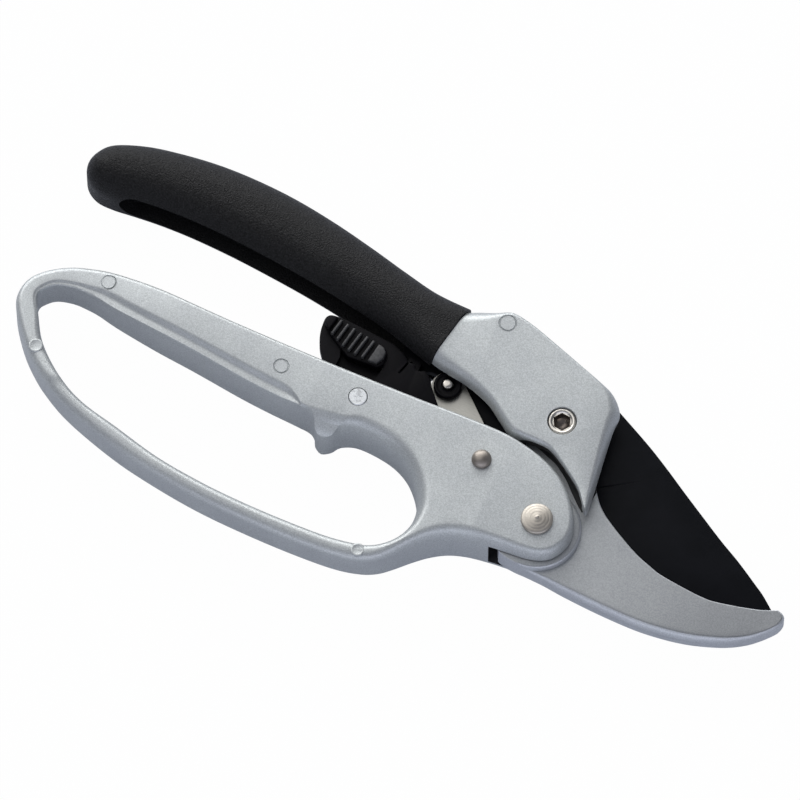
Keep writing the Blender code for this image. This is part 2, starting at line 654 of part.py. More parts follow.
def rivet(name, centre, shank, head, dome, material):
    """A shank with a domed front head and a flat back head sunk in the back wall."""
    top = front_face() + GAP
    rise = [(head / 2 * math.cos(a), top + 0.8 + (dome - 0.8 - GAP) * math.sin(a))
            for a in (math.radians(18 * i) for i in range(5))]
    profile = ([(0, 0), (head / 2, 0), (head / 2, RIVET_BACK_HEAD_HEIGHT),
                (shank / 2, RIVET_BACK_HEAD_HEIGHT), (shank / 2, top), (head / 2, top)]
               + rise + [(0, front_face() + dome)])
    return shade_round(lathe(name, profile, centre, material))


def pivot_screw(material):
    top = front_face() - SCREW_SUNK
    under = top - SCREW_HEAD_HEIGHT
    low = GAP + NUT_END_WALL
    half = SCREW_HEAD_DIAMETER / 2
    profile = [(0, low), (SCREW_DIAMETER / 2, low), (SCREW_DIAMETER / 2, under), (half, under),
               (half, top - 0.5), (half - 0.5, top), (0, top)]
    item = lathe("pivot_screw", profile, MAIN_PIVOT, material)
    across_corners = HEX_SOCKET / math.cos(math.radians(30))
    cut(item, disc("hex_socket", MAIN_PIVOT, across_corners / 2, top - HEX_SOCKET_DEPTH, top + 2,
                   steps=6))
    return shade_round(item)


def pivot_nut(material):
    """A round nut, closed at the back, whose flat end the shears lie on."""
    profile = [(0, 0), (NUT_DIAMETER / 2, 0), (NUT_DIAMETER / 2, NUT_HEIGHT),
               (SCREW_DIAMETER / 2 + GAP, NUT_HEIGHT), (SCREW_DIAMETER / 2 + GAP, NUT_END_WALL),
               (0, NUT_END_WALL)]
    return shade_round(lathe("pivot_nut", profile, MAIN_PIVOT, material))


def link_outline():
    """A strap round the link's rivet and its pin."""
    big, small = LINK_RIVET_END, LINK_PIN_END
    reach = Vector(PIN_SEAT) - Vector(LINK_PIVOT)
    heading = math.degrees(math.atan2(reach.y, reach.x))
    lean = math.degrees(math.asin((big - small) / reach.length))
    side = 90 - lean
    return (arc(PIN_SEAT, small, heading - side, heading + side, 10)
            + arc(LINK_PIVOT, big, heading + side, heading + 360 - side, 12))


def link_plate(name, low, material):
    item = slab(name, [link_outline()], low, low + LINK_THICKNESS, material, LINK_PIVOT)
    bore(item, LINK_PIVOT, LINK_RIVET_DIAMETER + 2 * GAP)
    bore(item, PIN_SEAT, LINK_PIN_DIAMETER + 2 * GAP, steps=16)
    return shade_round(item)


def roller_low():
    return hook_low() + LINK_THICKNESS + GAP


def link_pin(material):
    radius = LINK_PIN_DIAMETER / 2
    low = slot_low() + GAP
    top = roller_low() + ROLLER_THICKNESS + LINK_PIN_PROUD
    profile = [(0, low), (radius, low), (radius, top - 0.3), (radius - 0.3, top), (0, top)]
    return shade_round(lathe("link_pin", profile, PIN_SEAT, material, 16, LINK_PIVOT))


def link_roller(material):
    inner = LINK_PIN_DIAMETER / 2 + GAP
    outer = ROLLER_DIAMETER / 2
    low, high = roller_low(), roller_low() + ROLLER_THICKNESS
    profile = [(inner, low), (outer, low), (outer, high - 0.4), (outer - 0.4, high), (inner, high)]
    return shade_round(lathe("link_roller", profile, PIN_SEAT, material, 24, LINK_PIVOT))


def link_spring(material):
    """A coil round the link's rivet, with a leg up the link's left side."""
    gap_middle = (link_back_low() + LINK_THICKNESS + hook_low()) / 2
    pitch = LINK_WIRE + COIL_SPACE
    low = gap_middle - pitch * LINK_COIL_TURNS / 2
    reach = (Vector(PIN_SEAT) - Vector(LINK_PIVOT)).normalized()
    side = Vector((-reach.y, reach.x))
    start = math.degrees(math.atan2(side.y, side.x))
    turns = coil(LINK_PIVOT, LINK_COIL_RADIUS, low, pitch, LINK_COIL_TURNS, start - 360)
    leaves = Vector(LINK_PIVOT) + side * LINK_COIL_RADIUS
    leg = []
    for along, out in LINK_SPRING_LEG:
        spot = leaves + reach * along + side * (out - LINK_COIL_RADIUS)
        leg.append((spot.x, spot.y, low))
    return tube("link_spring", leg + turns, LINK_WIRE, material, LINK_PIVOT)


def opening_spring(material):
    """A torsion coil in the pocket of the hook's boss, with both ends bent to it."""
    turns = coil(HOOK_PIVOT, OPENING_COIL_RADIUS, opening_spring_low(),
                 OPENING_WIRE + COIL_SPACE, OPENING_TURNS, 120)
    return tube("opening_spring", turns, OPENING_WIRE, material, HOOK_PIVOT)


def lock_lever(material):
    """The thumb lock: a plate in the fork's slot, its hub on the pin and its ribbed pad."""
    high = slot_high() - GAP
    low = high - LOCK_PLATE_THICKNESS
    clear = ROLLER_DIAMETER / 2 + LOCK_NOSE_CLEARANCE
    nose = arc(PIN_SEAT, clear, 200, 232, 4)
    hub = arc(LOCK_PIVOT, LOCK_HUB_RADIUS, -25, -150, 8)
    item = slab("lock_lever", [LOCK_TOP + nose + LOCK_UNDER + hub + LOCK_LEFT_SIDE], low, high,
                material, LOCK_PIVOT)
    join(item, disc("lock_hub", LOCK_PIVOT, LOCK_HUB_RADIUS, slot_low() + GAP, high - 0.7))
    pad_high = mid_level() + LOCK_PAD_FRONT
    left, right = LOCK_PAD_LEFT, LOCK_PAD_LEFT + LOCK_PAD_LENGTH
    pad = [(left, -1.5), (left, 2.6), (left + 1.6, 4.0), (right, 0.7), (right, -3.4),
           (right - 1.6, -5.6), (left + 4.0, -4.8)]
    join(item, slab("lock_pad", [pad], pad_high - LOCK_PAD_WIDTH, pad_high,
                    rounding=(LOCK_PAD_ROUNDING, 2)))
    for i in range(LOCK_RIB_COUNT):
        x = left + LOCK_FIRST_RIB + i * LOCK_RIB_PITCH
        y = 3.0 - i * LOCK_RIB_PITCH * LOCK_RIB_FALL
        rib = [(x, y), (x + LOCK_RIB_WIDTH, y - 0.2), (x + LOCK_RIB_WIDTH, y - LOCK_RIB_LENGTH),
               (x, y - LOCK_RIB_LENGTH + 0.2)]
        join(item, slab("lock_rib", [rib], pad_high - 0.6, pad_high + LOCK_RIB_HEIGHT))
    cut(item, slab("lock_slit", [LOCK_SLIT], low - 1, high + 1))
    bore(item, LOCK_PIVOT, LOCK_PIN_DIAMETER + 2 * GAP)
    return shade_round(item)


def lock_spring(material):
    """A bent leaf in the slot that steadies the lock's hub."""
    low, high = slot_low() + 2 * GAP, slot_low() + 6.0
    floor = SLOT_FLOOR + GAP
    leaf = [(-61.0, floor), (-57.5, floor), (-54.0, floor), (-54.0, floor + 0.5), (-57.0, floor + 0.5),
            (-58.5, floor + 1.0), (-56.6, floor + 5.4), (-57.2, floor + 5.6), (-59.6, floor + 0.5),
            (-61.0, floor + 0.5)]
    return shade_round(slab("lock_spring", [leaf], low, high, material, LOCK_PIVOT))


def build():
    clear_scene()
    cast = finish("satin_silver_paint", (0.52, 0.55, 0.56), 0.42, 0.55)
    hook_paint = finish("jaw_silver_paint", (0.42, 0.44, 0.45), 0.45, 0.55)
    dip = finish("black_dipped_vinyl", (0.018, 0.018, 0.020), 0.62, 0.0)
    coated = finish("black_coated_steel", (0.010, 0.011, 0.013), 0.34, 0.2)
    nickel = finish("nickel_plate", (0.62, 0.59, 0.54), 0.22, 1.0)
    zinc = finish("zinc_plate", (0.50, 0.49, 0.46), 0.38, 0.9)
    nylon = finish("black_nylon", (0.016, 0.016, 0.018), 0.5, 0.0)
    wire = finish("spring_steel", (0.55, 0.55, 0.55), 0.3, 1.0)

    upper_handle(cast)
    upper_grip(dip)
    blade(coated)
    hook(hook_paint)
    lower_handle(cast)
    pivot_screw(nickel)
    pivot_nut(zinc)
    ring("pivot_sleeve", MAIN_PIVOT, SCREW_DIAMETER / 2 + GAP, SLEEVE_DIAMETER / 2,
         blade_low(), hook_high(), zinc)
    disc("tang_pin", TANG_PIN_PLACE, TANG_PIN_DIAMETER / 2, STANDOFF + PIN_SUNK,
         slot_high() + TANG_PIN_DEPTH - GAP, zinc, 16)
    rivet("hook_rivet", HOOK_PIVOT, HOOK_RIVET_DIAMETER, HOOK_RIVET_HEAD, HOOK_RIVET_DOME, nickel)
    rivet("link_rivet", LINK_PIVOT, LINK_RIVET_DIAMETER, LINK_RIVET_HEAD, LINK_RIVET_DOME, nickel)
    link_plate("link_plate_front", hook_low(), zinc)
    link_plate("link_plate_back", link_back_low(), zinc)
    link_pin(nickel)
    link_roller(nylon)
    link_spring(wire)
    opening_spring(wire)
    lock_lever(nylon)
    disc("lock_pin", LOCK_PIVOT, LOCK_PIN_DIAMETER / 2, STANDOFF + PIN_SUNK,
         front_face() + PIN_SUNK, zinc)
    lock_spring(wire)


build()
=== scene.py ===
"""Ratchet pruning shears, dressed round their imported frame. Shapes are drawn in millimetres."""
import math

import bmesh
import bpy
from mathutils import Matrix, Vector


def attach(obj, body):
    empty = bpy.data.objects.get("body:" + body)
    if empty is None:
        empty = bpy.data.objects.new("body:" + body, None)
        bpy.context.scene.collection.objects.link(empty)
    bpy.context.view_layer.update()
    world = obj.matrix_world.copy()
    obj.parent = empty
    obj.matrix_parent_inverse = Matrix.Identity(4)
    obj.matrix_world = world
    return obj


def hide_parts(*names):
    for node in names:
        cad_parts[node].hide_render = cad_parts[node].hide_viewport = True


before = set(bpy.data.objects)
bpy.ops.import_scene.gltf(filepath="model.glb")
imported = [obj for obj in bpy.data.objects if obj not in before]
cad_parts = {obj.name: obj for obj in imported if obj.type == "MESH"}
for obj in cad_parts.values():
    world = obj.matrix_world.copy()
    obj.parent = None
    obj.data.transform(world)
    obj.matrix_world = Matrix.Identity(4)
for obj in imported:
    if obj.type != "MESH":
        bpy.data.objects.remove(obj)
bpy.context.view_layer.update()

MM = 0.001
SHARP_ANGLE = math.radians(38.0)
MID = 9.0
FRONT = 17.5
BACK = 0.5
HALF = FRONT - MID

MAIN = (0.0, 0.0)
BIG_RIVET = (5.3, -27.8)
SMALL_RIVET = (-14.5, -18.5)
LINK_END = (-31.9, -1.0)
LOCK = (-50.8, -15.6)
TANG_PIN = (-15.0, 4.6)

# Heights, from the back of the closed shears to their front.
SLOT_LOW, SLOT_HIGH = 3.4, 13.5
BLADE_LOW, BLADE_HIGH = 5.5, 8.1
RECESS_TOP = 8.4
JAW_FACE = 10.7
JAW_THICKNESS = 5.2
BOSS_TOP = 12.9
LEVER_LOW, LEVER_HIGH = 10.2, 13.2
PAD_FLOOR = 14.6
GUARD_HALF = 6.0
# A face belongs to a casting's flat top where its normal's z is at least this.
FLAT_ENOUGH = 0.93
BELOW_ALL, ABOVE_ALL = -5.0, 25.0

BOSS_RADIUS = 11.5
BOSS_ROOM = 0.9
ARM_RADIUS = 8.8
TANG_RADIUS = 10.8
SEAT_RADIUS = 2.45
SLEEVE_BORE = 4.3
RIVET_BORE = 3.3
TANG_PIN_BORE = 2.3
LOCK_BORE = 2.55
LEVER_BORE = 2.7

# The stretch over which the guard grows thinner below the fork.
GUARD_ROOT = Vector((-18.0, -40.0))
GUARD_COURSE = Vector((-0.77, -0.64))
GUARD_THINS = 22.0

# The blade's grind line, which runs out as it rises.
GRIND_STARTS = Vector((6.4, -15.3, 7.93))
GRIND_FADES = Vector((46.2, 11.5, 8.96))

# Where the link's pin can push on the tang, one seat per bite.
SEATS = [(LINK_END[0] - 5.6 * i, LINK_END[1] + 0.56 * i) for i in range(3)]

# Outlines. Each row is x, y, how far the rim's rounding reaches in, and how far it drops.
HEAD_RIM = [
    (-32.7, 20.1, 4.2, 5.2), (-30.0, 21.0, 3.6, 4.6), (-27.4, 21.6, 2.2, 3.0),
    (-25.0, 22.4, 1.3, 1.6), (-22.7, 22.6, 1.0, 1.2), (-17.1, 21.4, 0.9, 1.1),
    (-8.8, 18.7, 0.9, 1.1), (-0.2, 15.8, 0.9, 1.1), (4.8, 14.2, 1.2, 1.6), (8.4, 13.1, 2.2, 3.4),
    (11.1, 11.1, 3.1, 5.0), (12.9, 8.3, 3.4, 6.0), (13.0, 4.0, 2.9, 6.0), (13.8, -3.0, 2.5, 6.0),
    (14.8, -10.0, 2.0, 6.0), (15.5, -16.0, 1.4, 5.0), (15.5, -20.3, 0.4, 2.0),
    (11.5, -15.7, 0.5, 1.2), (8.0, -13.0, 0.6, 1.5), (4.1, -10.5, 0.8, 2.0), (1.1, -9.0, 1.2, 2.8),
    (-1.5, -8.5, 1.7, 3.6), (-8.9, -8.5, 1.9, 3.8), (-11.8, -7.8, 2.0, 4.0),
    (-15.5, -5.3, 2.0, 4.0), (-19.2, -2.8, 2.0, 4.0), (-23.7, -0.9, 2.2, 4.0),
    (-27.8, 0.2, 2.6, 4.4), (-32.4, 0.9, 3.4, 5.0), (-36.7, 1.6, 4.2, 5.6), (-44.0, 3.6, 4.2, 6.0),
    (-46.0, 5.0, 4.0, 6.0), (-46.0, 16.8, 4.0, 6.0), (-44.0, 17.8, 4.6, 6.0),
    (-36.2, 19.0, 4.8, 6.2)]
LOWER_RIM = [
    (-142.3, -28.5, 1.8, 2.8), (-143.8, -24.4, 1.6, 2.4), (-143.0, -19.5, 1.6, 2.2),
    (-139.7, -15.5, 1.6, 2.2), (-134.3, -12.0, 1.6, 2.2), (-128.3, -10.0, 1.6, 2.2),
    (-122.3, -9.0, 1.5, 2.0), (-111.5, -8.6, 1.4, 1.8), (-98.5, -9.1, 1.3, 1.6),
    (-86.9, -9.4, 1.3, 1.6), (-63.5, -9.6, 1.2, 1.5), (-37.4, -9.3, 1.1, 1.4),
    (-26.0, -8.9, 1.1, 1.4), (-14.2, -8.8, 1.1, 1.4), (-8.0, -9.4, 1.1, 1.4),
    (-1.6, -10.9, 1.1, 1.4), (3.3, -12.9, 1.1, 1.4), (7.3, -15.4, 1.2, 1.5),
    (10.6, -18.6, 1.3, 1.8), (13.4, -22.5, 1.5, 2.2), (15.0, -27.0, 1.7, 2.8),
    (14.6, -31.0, 1.9, 3.4), (12.6, -34.6, 2.1, 4.0), (9.6, -36.6, 2.3, 4.6),
    (5.6, -37.6, 2.5, 5.2), (1.0, -38.0, 2.8, 5.6), (-3.2, -38.4, 3.0, 5.8),
    (-8.9, -39.3, 3.3, 5.8), (-13.8, -40.9, 3.3, 5.6), (-17.9, -43.4, 2.9, 5.2),
    (-21.5, -46.7, 2.4, 4.6), (-25.2, -50.8, 2.3, 4.0), (-28.4, -53.7, 2.4, 3.6),
    (-32.6, -55.7, 2.6, 3.4), (-39.5, -57.1, 2.7, 3.4), (-50.6, -57.7, 2.8, 3.4),
    (-63.7, -57.7, 2.8, 3.4), (-77.0, -57.1, 2.8, 3.4), (-90.0, -55.5, 2.8, 3.4),
    (-103.4, -52.9, 2.8, 3.4), (-118.1, -48.3, 2.7, 3.4), (-126.9, -43.9, 2.6, 3.4),
    (-133.3, -39.2, 2.4, 3.4), (-138.0, -34.4, 2.1, 3.2)]
# The finger hole's rows have a fifth number: how much of the raised ledge runs there.
HOLE_RIM = [
    (-138.8, -23.0, 1.5, 2.6, 1.2), (-137.7, -20.4, 1.5, 2.6, 1.5), (-135.2, -18.4, 1.6, 2.8, 1.7),
    (-131.0, -17.4, 1.8, 3.2, 2.0), (-127.5, -17.4, 2.2, 3.6, 2.6), (-124.2, -17.7, 2.7, 4.2, 3.4),
    (-120.5, -18.4, 2.9, 4.2, 4.0), (-116.6, -19.0, 3.0, 4.2, 4.0), (-107.0, -20.1, 3.0, 4.2, 4.0),
    (-95.7, -21.2, 3.0, 4.2, 4.0), (-81.0, -23.0, 3.1, 4.2, 4.2), (-73.0, -23.7, 3.2, 4.2, 4.2),
    (-69.6, -23.9, 3.2, 4.2, 4.1), (-67.4, -24.0, 3.0, 4.2, 3.6), (-65.2, -24.1, 2.5, 4.2, 2.4),
    (-63.4, -24.1, 1.6, 3.6, 1.0), (-61.8, -24.1, 1.2, 3.0, 0), (-60.0, -24.5, 1.0, 2.6, 0),
    (-58.6, -25.7, 1.0, 2.6, 0), (-57.8, -27.2, 1.0, 2.6, 0), (-55.7, -28.3, 1.0, 2.8, 0),
    (-53.2, -27.1, 1.8, 4.4, 0), (-51.4, -25.0, 2.9, 5.6, 0), (-47.5, -23.6, 4.0, 6.2, 0),
    (-41.5, -23.8, 4.3, 6.4, 0), (-36.0, -25.0, 4.3, 6.4, 0), (-31.3, -27.5, 4.1, 6.4, 0),
    (-27.4, -31.5, 3.8, 6.4, 0), (-25.1, -35.6, 3.4, 5.8, 0), (-24.3, -39.3, 2.9, 5.2, 0),
    (-24.6, -42.4, 2.4, 4.6, 0), (-26.0, -45.6, 2.0, 4.0, 0), (-28.5, -48.4, 1.9, 3.6, 0),
    (-31.8, -50.5, 1.9, 3.4, 0), (-35.8, -51.6, 2.0, 3.4, 0), (-43.7, -52.7, 2.1, 3.4, 0),
    (-56.7, -53.1, 2.1, 3.4, 0), (-69.5, -52.9, 2.1, 3.4, 0), (-80.0, -52.2, 2.1, 3.4, 0),
    (-92.0, -50.6, 2.1, 3.4, 0), (-105.1, -47.4, 2.0, 3.4, 0), (-115.0, -45.0, 2.0, 3.4, 0),
    (-122.2, -41.9, 2.0, 3.4, 0), (-128.2, -37.7, 2.0, 3.2, 0), (-132.9, -33.1, 1.8, 3.0, 0),
    (-136.3, -27.7, 1.6, 2.8, 0.6)]

# The ledge at its full width: its rounding in shares, then the step to the face as inset and rise.
LEDGE_WIDTH = 4.2
LEDGE_DEPTH = 1.35
LEDGE_SHARES = (0.0, 0.12, 0.26, 0.42, 0.6, 0.8, 1.0)
LEDGE_STEP = [
    (2.3, 0.0), (1.9, -0.03), (1.5, -0.28), (1.1, -0.66), (0.7, -1.02), (0.3, -1.26), (-0.1, -1.35)]

GRIP_RIM = [
    (-34.6, 20.1, 5.0, 6.0), (-44.7, 21.2, 7.0, 7.8), (-55.1, 23.7, 8.6, 8.6),
    (-64.5, 26.1, 9.2, 8.9), (-76.8, 28.8, 9.4, 9.0), (-88.9, 30.7, 9.4, 9.0),
    (-100.1, 31.5, 9.4, 9.0), (-110.9, 31.4, 9.2, 9.0), (-121.2, 30.2, 8.8, 8.8),
    (-130.6, 28.2, 8.0, 8.4), (-138.7, 24.8, 7.0, 7.8), (-142.0, 21.1, 6.4, 7.4),
    (-143.0, 17.2, 6.2, 7.2), (-141.5, 13.6, 6.2, 7.2), (-138.0, 11.4, 6.6, 7.4),
    (-133.2, 11.0, 7.2, 8.0), (-127.6, 11.4, 8.0, 8.6), (-120.2, 11.9, 8.6, 8.8),
    (-111.0, 12.0, 9.0, 9.0), (-99.7, 11.5, 9.0, 9.0), (-88.4, 10.5, 9.0, 9.0),
    (-77.0, 9.2, 8.8, 8.9), (-66.0, 7.5, 8.4, 8.7), (-52.0, 4.9, 7.4, 8.0), (-38.0, 1.3, 5.0, 6.0)]

# A section through the spur's top, as a place across it and a height.
SPUR_TOP = [
    (0.6, 17.58), (0.0, 17.5), (-0.6, 17.36), (-1.4, 17.02), (-2.4, 16.44), (-3.4, 15.8),
    (-4.4, 15.12), (-5.2, 14.5), (-5.9, 13.8), (-6.5, 12.9), (-7.0, 11.6), (-7.3, 9.8),
    (-12.0, 8.0), (-12.0, 25.0), (0.6, 25.0)]
GRIP_END = [
    (-31.0, 0.2, 4.6, 5.8), (-24.0, 1.0, 4.6, 5.8), (-20.5, 5.0, 4.6, 5.8), (-20.0, 14.5, 4.6, 5.8),
    (-22.6, 18.6, 4.6, 5.8), (-28.5, 20.0, 4.6, 5.8)]
HOOK_EDGE = [
    (10.6, -6.4), (14.2, -10.6), (17.4, -14.65), (21.4, -17.85), (30.15, -22.7), (36.1, -25.0),
    (40.8, -26.2), (51.5, -27.25), (57.1, -26.7), (66.1, -24.5), (71.0, -22.5)]
HOOK_NOSE = [
    (71.0, -22.5), (72.2, -22.75), (73.2, -23.6), (73.35, -24.9), (72.95, -26.3), (72.35, -27.4),
    (70.2, -29.95), (67.25, -32.75), (63.6, -35.15), (59.3, -37.1), (52.6, -39.25), (45.45, -40.53),
    (38.1, -41.1), (28.1, -40.92), (18.4, -40.25), (12.6, -39.6), (7.2, -39.3)]
HOOK_RIM_INNER = [
    (18.2, -30.0), (24.0, -32.4), (33.0, -34.4), (45.0, -34.3), (57.0, -32.3), (66.0, -28.6),
    (73.5, -21.0)]
# Along the jaw: x, how far in its face falls, by how much, and how far its rim's rounding reaches.
HOOK_CROWN = [
    (-10.0, 0.0, 0.0, 0.6), (8.0, 0.5, 0.0, 0.8), (16.0, 3.0, 0.03, 1.5), (24.0, 5.0, 0.06, 1.9),
    (48.0, 6.5, 0.13, 1.9), (60.0, 6.5, 0.17, 1.7), (66.0, 3.6, 0.10, 1.3), (71.0, 0.4, 0.0, 0.8),
    (75.0, 0.2, 0.0, 0.8)]
BLADE_SPINE = [
    (11.4, 11.7), (21.6, 6.5), (28.6, 2.5), (35.6, -1.8), (42.6, -6.0), (49.5, -10.1),
    (56.1, -13.7), (62.3, -17.5), (65.6, -19.6), (69.6, -22.8)]
BLADE_EDGE = [
    (70.2, -23.9), (66.5, -26.9), (60.0, -29.0), (51.0, -30.0), (41.0, -29.2), (34.5, -27.4),
    (27.0, -23.6), (19.5, -18.6), (13.6, -13.6)]


# Curves and outlines

def smooth_rows(rows, spacing, closed=False):
    """A Catmull-Rom curve through rows of x, y and whatever goes with them."""
    count = len(rows)
    result = []
    for i in range(count if closed else count - 1):
        picks = [(i + k) % count if closed else min(max(i + k, 0), count - 1) for k in (-1, 0, 1, 2)]
        before, a, b, after = (rows[pick] for pick in picks)
        steps = max(1, round(math.dist(a[:2], b[:2]) / spacing))
        for k in range(steps):
            t = k / steps
            weights = (-t + 2 * t * t - t ** 3, 2 - 5 * t * t + 3 * t ** 3,
                       t + 4 * t * t - 3 * t ** 3, t ** 3 - t * t)
            result.append(tuple(sum(w * row[axis] for w, row in zip(weights, (before, a, b, after))) / 2
                                for axis in range(len(a))))
    return result if closed else result + [tuple(rows[-1])]


def arc(centre, radius, start, end, steps):
    """Points along a part of a circle, from one angle in degrees to another."""
    angles = [math.radians(start + (end - start) * i / steps) for i in range(steps + 1)]
    return [(centre[0] + radius * math.cos(a), centre[1] + radius * math.sin(a)) for a in angles]


def turning(points):
    """Twice the area of an outline, positive where it runs anticlockwise."""
    return sum(a[0] * b[1] - b[0] * a[1] for a, b in zip(points[-1:] + points[:-1], points))


def eased(share):
    """A share from 0 to 1 that starts and ends gently."""
    share = min(1.0, max(0.0, share))
    return share * share * (3 - 2 * share)


def without_repeats(points, least=0.05):
    """An outline without the corners that all but touch the one before."""
    kept = []
    for point in points:
        if not kept or math.dist(point[:2], kept[-1][:2]) > least:
            kept.append(point)
    if math.dist(kept[0][:2], kept[-1][:2]) <= least:
        kept.pop()
    return kept


def inward(points, reach=2):
    """The normals into the material, which lies to the left of the outline."""
    count = len(points)
    normals = []
    for i in range(count):
        ahead, behind = points[(i + reach) % count], points[(i - reach) % count]
        along = Vector((ahead[0] - behind[0], ahead[1] - behind[1])).normalized()
        normals.append(Vector((-along.y, along.x)))
    return normals


# Mesh helpers

# Stands a flat plate up: its outline's y becomes the height, and its thickness runs along Y.
STANDING = Matrix(((1, 0, 0, 0), (0, 0, -1, 0), (0, 1, 0, 0), (0, 0, 0, 1)))


def edges_sharp(item):
    item.data.shade_smooth()
    item.data.set_sharp_from_angle(angle=SHARP_ANGLE)


def settle(shape, name, material):
    """Turns a mesh drawn in millimetres into a smooth shaded piece in metres."""
    bmesh.ops.scale(shape, vec=(MM, MM, MM), verts=shape.verts)
    mesh = bpy.data.meshes.new(name)
    shape.to_mesh(mesh)
    shape.free()
    item = bpy.data.objects.new(name, mesh)
    bpy.context.scene.collection.objects.link(item)
    edges_sharp(item)
    if material:
        mesh.materials.append(material)
    return item


def combine(item, other, operation):
    """Cuts a helper out of a piece or joins it on. A helper's own material stays on what it leaves."""
    step = item.modifiers.new(operation.title(), "BOOLEAN")
    step.operation = operation
    step.solver = "EXACT"
    step.object = other
    if other.data.materials:
        step.material_mode = "TRANSFER"
    graph = bpy.context.evaluated_depsgraph_get()
    mesh = bpy.data.meshes.new_from_object(item.evaluated_get(graph))
    item.modifiers.clear()
    item.data = mesh
    bpy.data.objects.remove(other)


def cut(item, *others):
    for other in others:
        combine(item, other, "DIFFERENCE")


def join(item, other):
    combine(item, other, "UNION")


def turned(name, profile, centre, material=None, steps=48):
    """A turned piece from radius and height pairs, a ring where they keep off the centre."""
    shape = bmesh.new()
    ring = [shape.verts.new((centre[0] + r, centre[1], z)) for r, z in profile]
    edges = [shape.edges.new(pair) for pair in zip(ring, ring[1:])]
    if profile[0][0] > 0 or profile[-1][0] > 0:
        edges.append(shape.edges.new((ring[-1], ring[0])))
    bmesh.ops.spin(shape, geom=ring + edges, cent=(*centre, 0.0), axis=(0.0, 0.0, 1.0),
                   angle=math.tau, steps=steps, use_merge=True)
    bmesh.ops.remove_doubles(shape, verts=shape.verts[:], dist=0.0005)
    bmesh.ops.recalc_face_normals(shape, faces=shape.faces)
    return settle(shape, name, material)


def plate(name, outlines, low, high, material=None, edge=0.0, segments=2):
    """A flat plate, from an outline and the holes in it, with its rims eased by a bevel."""
    shape = bmesh.new()
    for outline in outlines:
        ring = [shape.verts.new((x, y, high)) for x, y, *_ in without_repeats(outline)]
        for a, b in zip(ring, ring[1:] + ring[:1]):
            shape.edges.new((a, b))
    bmesh.ops.triangle_fill(shape, use_beauty=True, use_dissolve=False, edges=shape.edges[:])
    top = set(shape.verts)
    grown = bmesh.ops.extrude_face_region(shape, geom=shape.faces[:])["geom"]
    for item in grown:
        if isinstance(item, bmesh.types.BMVert):
            item.co.z = low
    bmesh.ops.recalc_face_normals(shape, faces=shape.faces)
    if edge:
        rims = [e for e in shape.edges if e.calc_face_angle() > math.radians(50)
                and (e.verts[0] in top) == (e.verts[1] in top)]
        bmesh.ops.bevel(shape, geom=rims, offset=edge, offset_type="OFFSET", segments=segments,
                        profile=0.5, affect="EDGES", clamp_overlap=False, material=-1)
    return settle(shape, name, material)


def swept(name, profile, start, end):
    """A bar along a line whose profile gives its places across, to the left, and its heights."""
    along = end - start
    item = plate(name, [profile], 0.0, along.length)
    along.normalize()
    turn = Matrix(((-along.y, 0.0, along.x), (along.x, 0.0, along.y), (0.0, 1.0, along.z))).to_4x4()
    turn.translation = start * MM
    item.data.transform(turn)
    return item


def bore(item, centre, radius):
    """A round hole right through a piece."""
    profile = [(0, BELOW_ALL), (radius, BELOW_ALL), (radius, ABOVE_ALL), (0, ABOVE_ALL)]
    cut(item, turned("bore", profile, centre))


def grow_ring(shape, ring, edges, places):
    """Extrudes a ring of edges and moves its new corners to their places."""
    order = {tuple(round(c, 5) for c in vertex.co): i for i, vertex in enumerate(ring)}
    grown = bmesh.ops.extrude_edge_only(shape, edges=edges)["geom"]
    fresh = [None] * len(ring)
    for item in grown:
        if isinstance(item, bmesh.types.BMVert):
            fresh[order[tuple(round(c, 5) for c in item.co)]] = item
    known = set(fresh)
    new_edges = [item for item in grown if isinstance(item, bmesh.types.BMEdge)
                 and item.verts[0] in known and item.verts[1] in known]
    for vertex, place in zip(fresh, places):
        vertex.co = place
    return fresh, new_edges


def rounded_section(reach, drop, share):
    """Inset and depth at a share of the way from the wall to the flat face."""
    angle = share * math.pi / 2
    return reach * (1 - math.cos(angle)), drop * (1 - math.sin(angle))


def ledge_section(row, index):
    """The section over the ledge: its rounding, its crest, the valley and the step up to the face."""
    width = row[4]
    size = min(1.0, width / LEDGE_WIDTH)
    if index < len(LEDGE_SHARES):
        inset, depth = rounded_section(min(0.62, width * 0.3), row[3], LEDGE_SHARES[index])
        return inset, depth + LEDGE_DEPTH * size
    back, rise = LEDGE_STEP[index - len(LEDGE_SHARES)]
    return width - back * size, (LEDGE_DEPTH + rise) * size


def plain_section(row, index, count):
    return rounded_section(row[2], row[3], index / (count - 1))


def finger_section(row, index, count):
    """The finger hole's section, which has the ledge where the row gives it a width."""
    inset, depth = plain_section(row, index, count)
    share = min(1.0, max(0.0, row[4] / 1.6))
    if share > 0:
        over, under = ledge_section(row, index)
        inset += (over - inset) * share
        depth += (under - depth) * share
    return inset, depth


def crowned_section(row, index, count):
    """The hook's section: its rounded rim, then a face that rises slowly from the outer edge."""
    rim_steps = 9
    if index <= rim_steps:
        inset, depth = rounded_section(row[4], row[4] * 1.4, index / rim_steps)
        return inset, depth + row[3]
    share = (index - rim_steps) / (count - 1 - rim_steps)
    return row[4] + row[2] * share, row[3] * (1 - share) ** 2


def folded(shape, faces, spot, direction):
    """Runs an edge across flat faces along a plane, so that they can bend there."""
    around = faces + [edge for face in faces for edge in face.edges]
    around += [corner for face in faces for corner in face.verts]
    done = bmesh.ops.bisect_plane(shape, geom=list(dict.fromkeys(around)), dist=0.00001, plane_co=spot,
                                  plane_no=direction)
    return [item for item in done["geom"] if isinstance(item, bmesh.types.BMFace)]


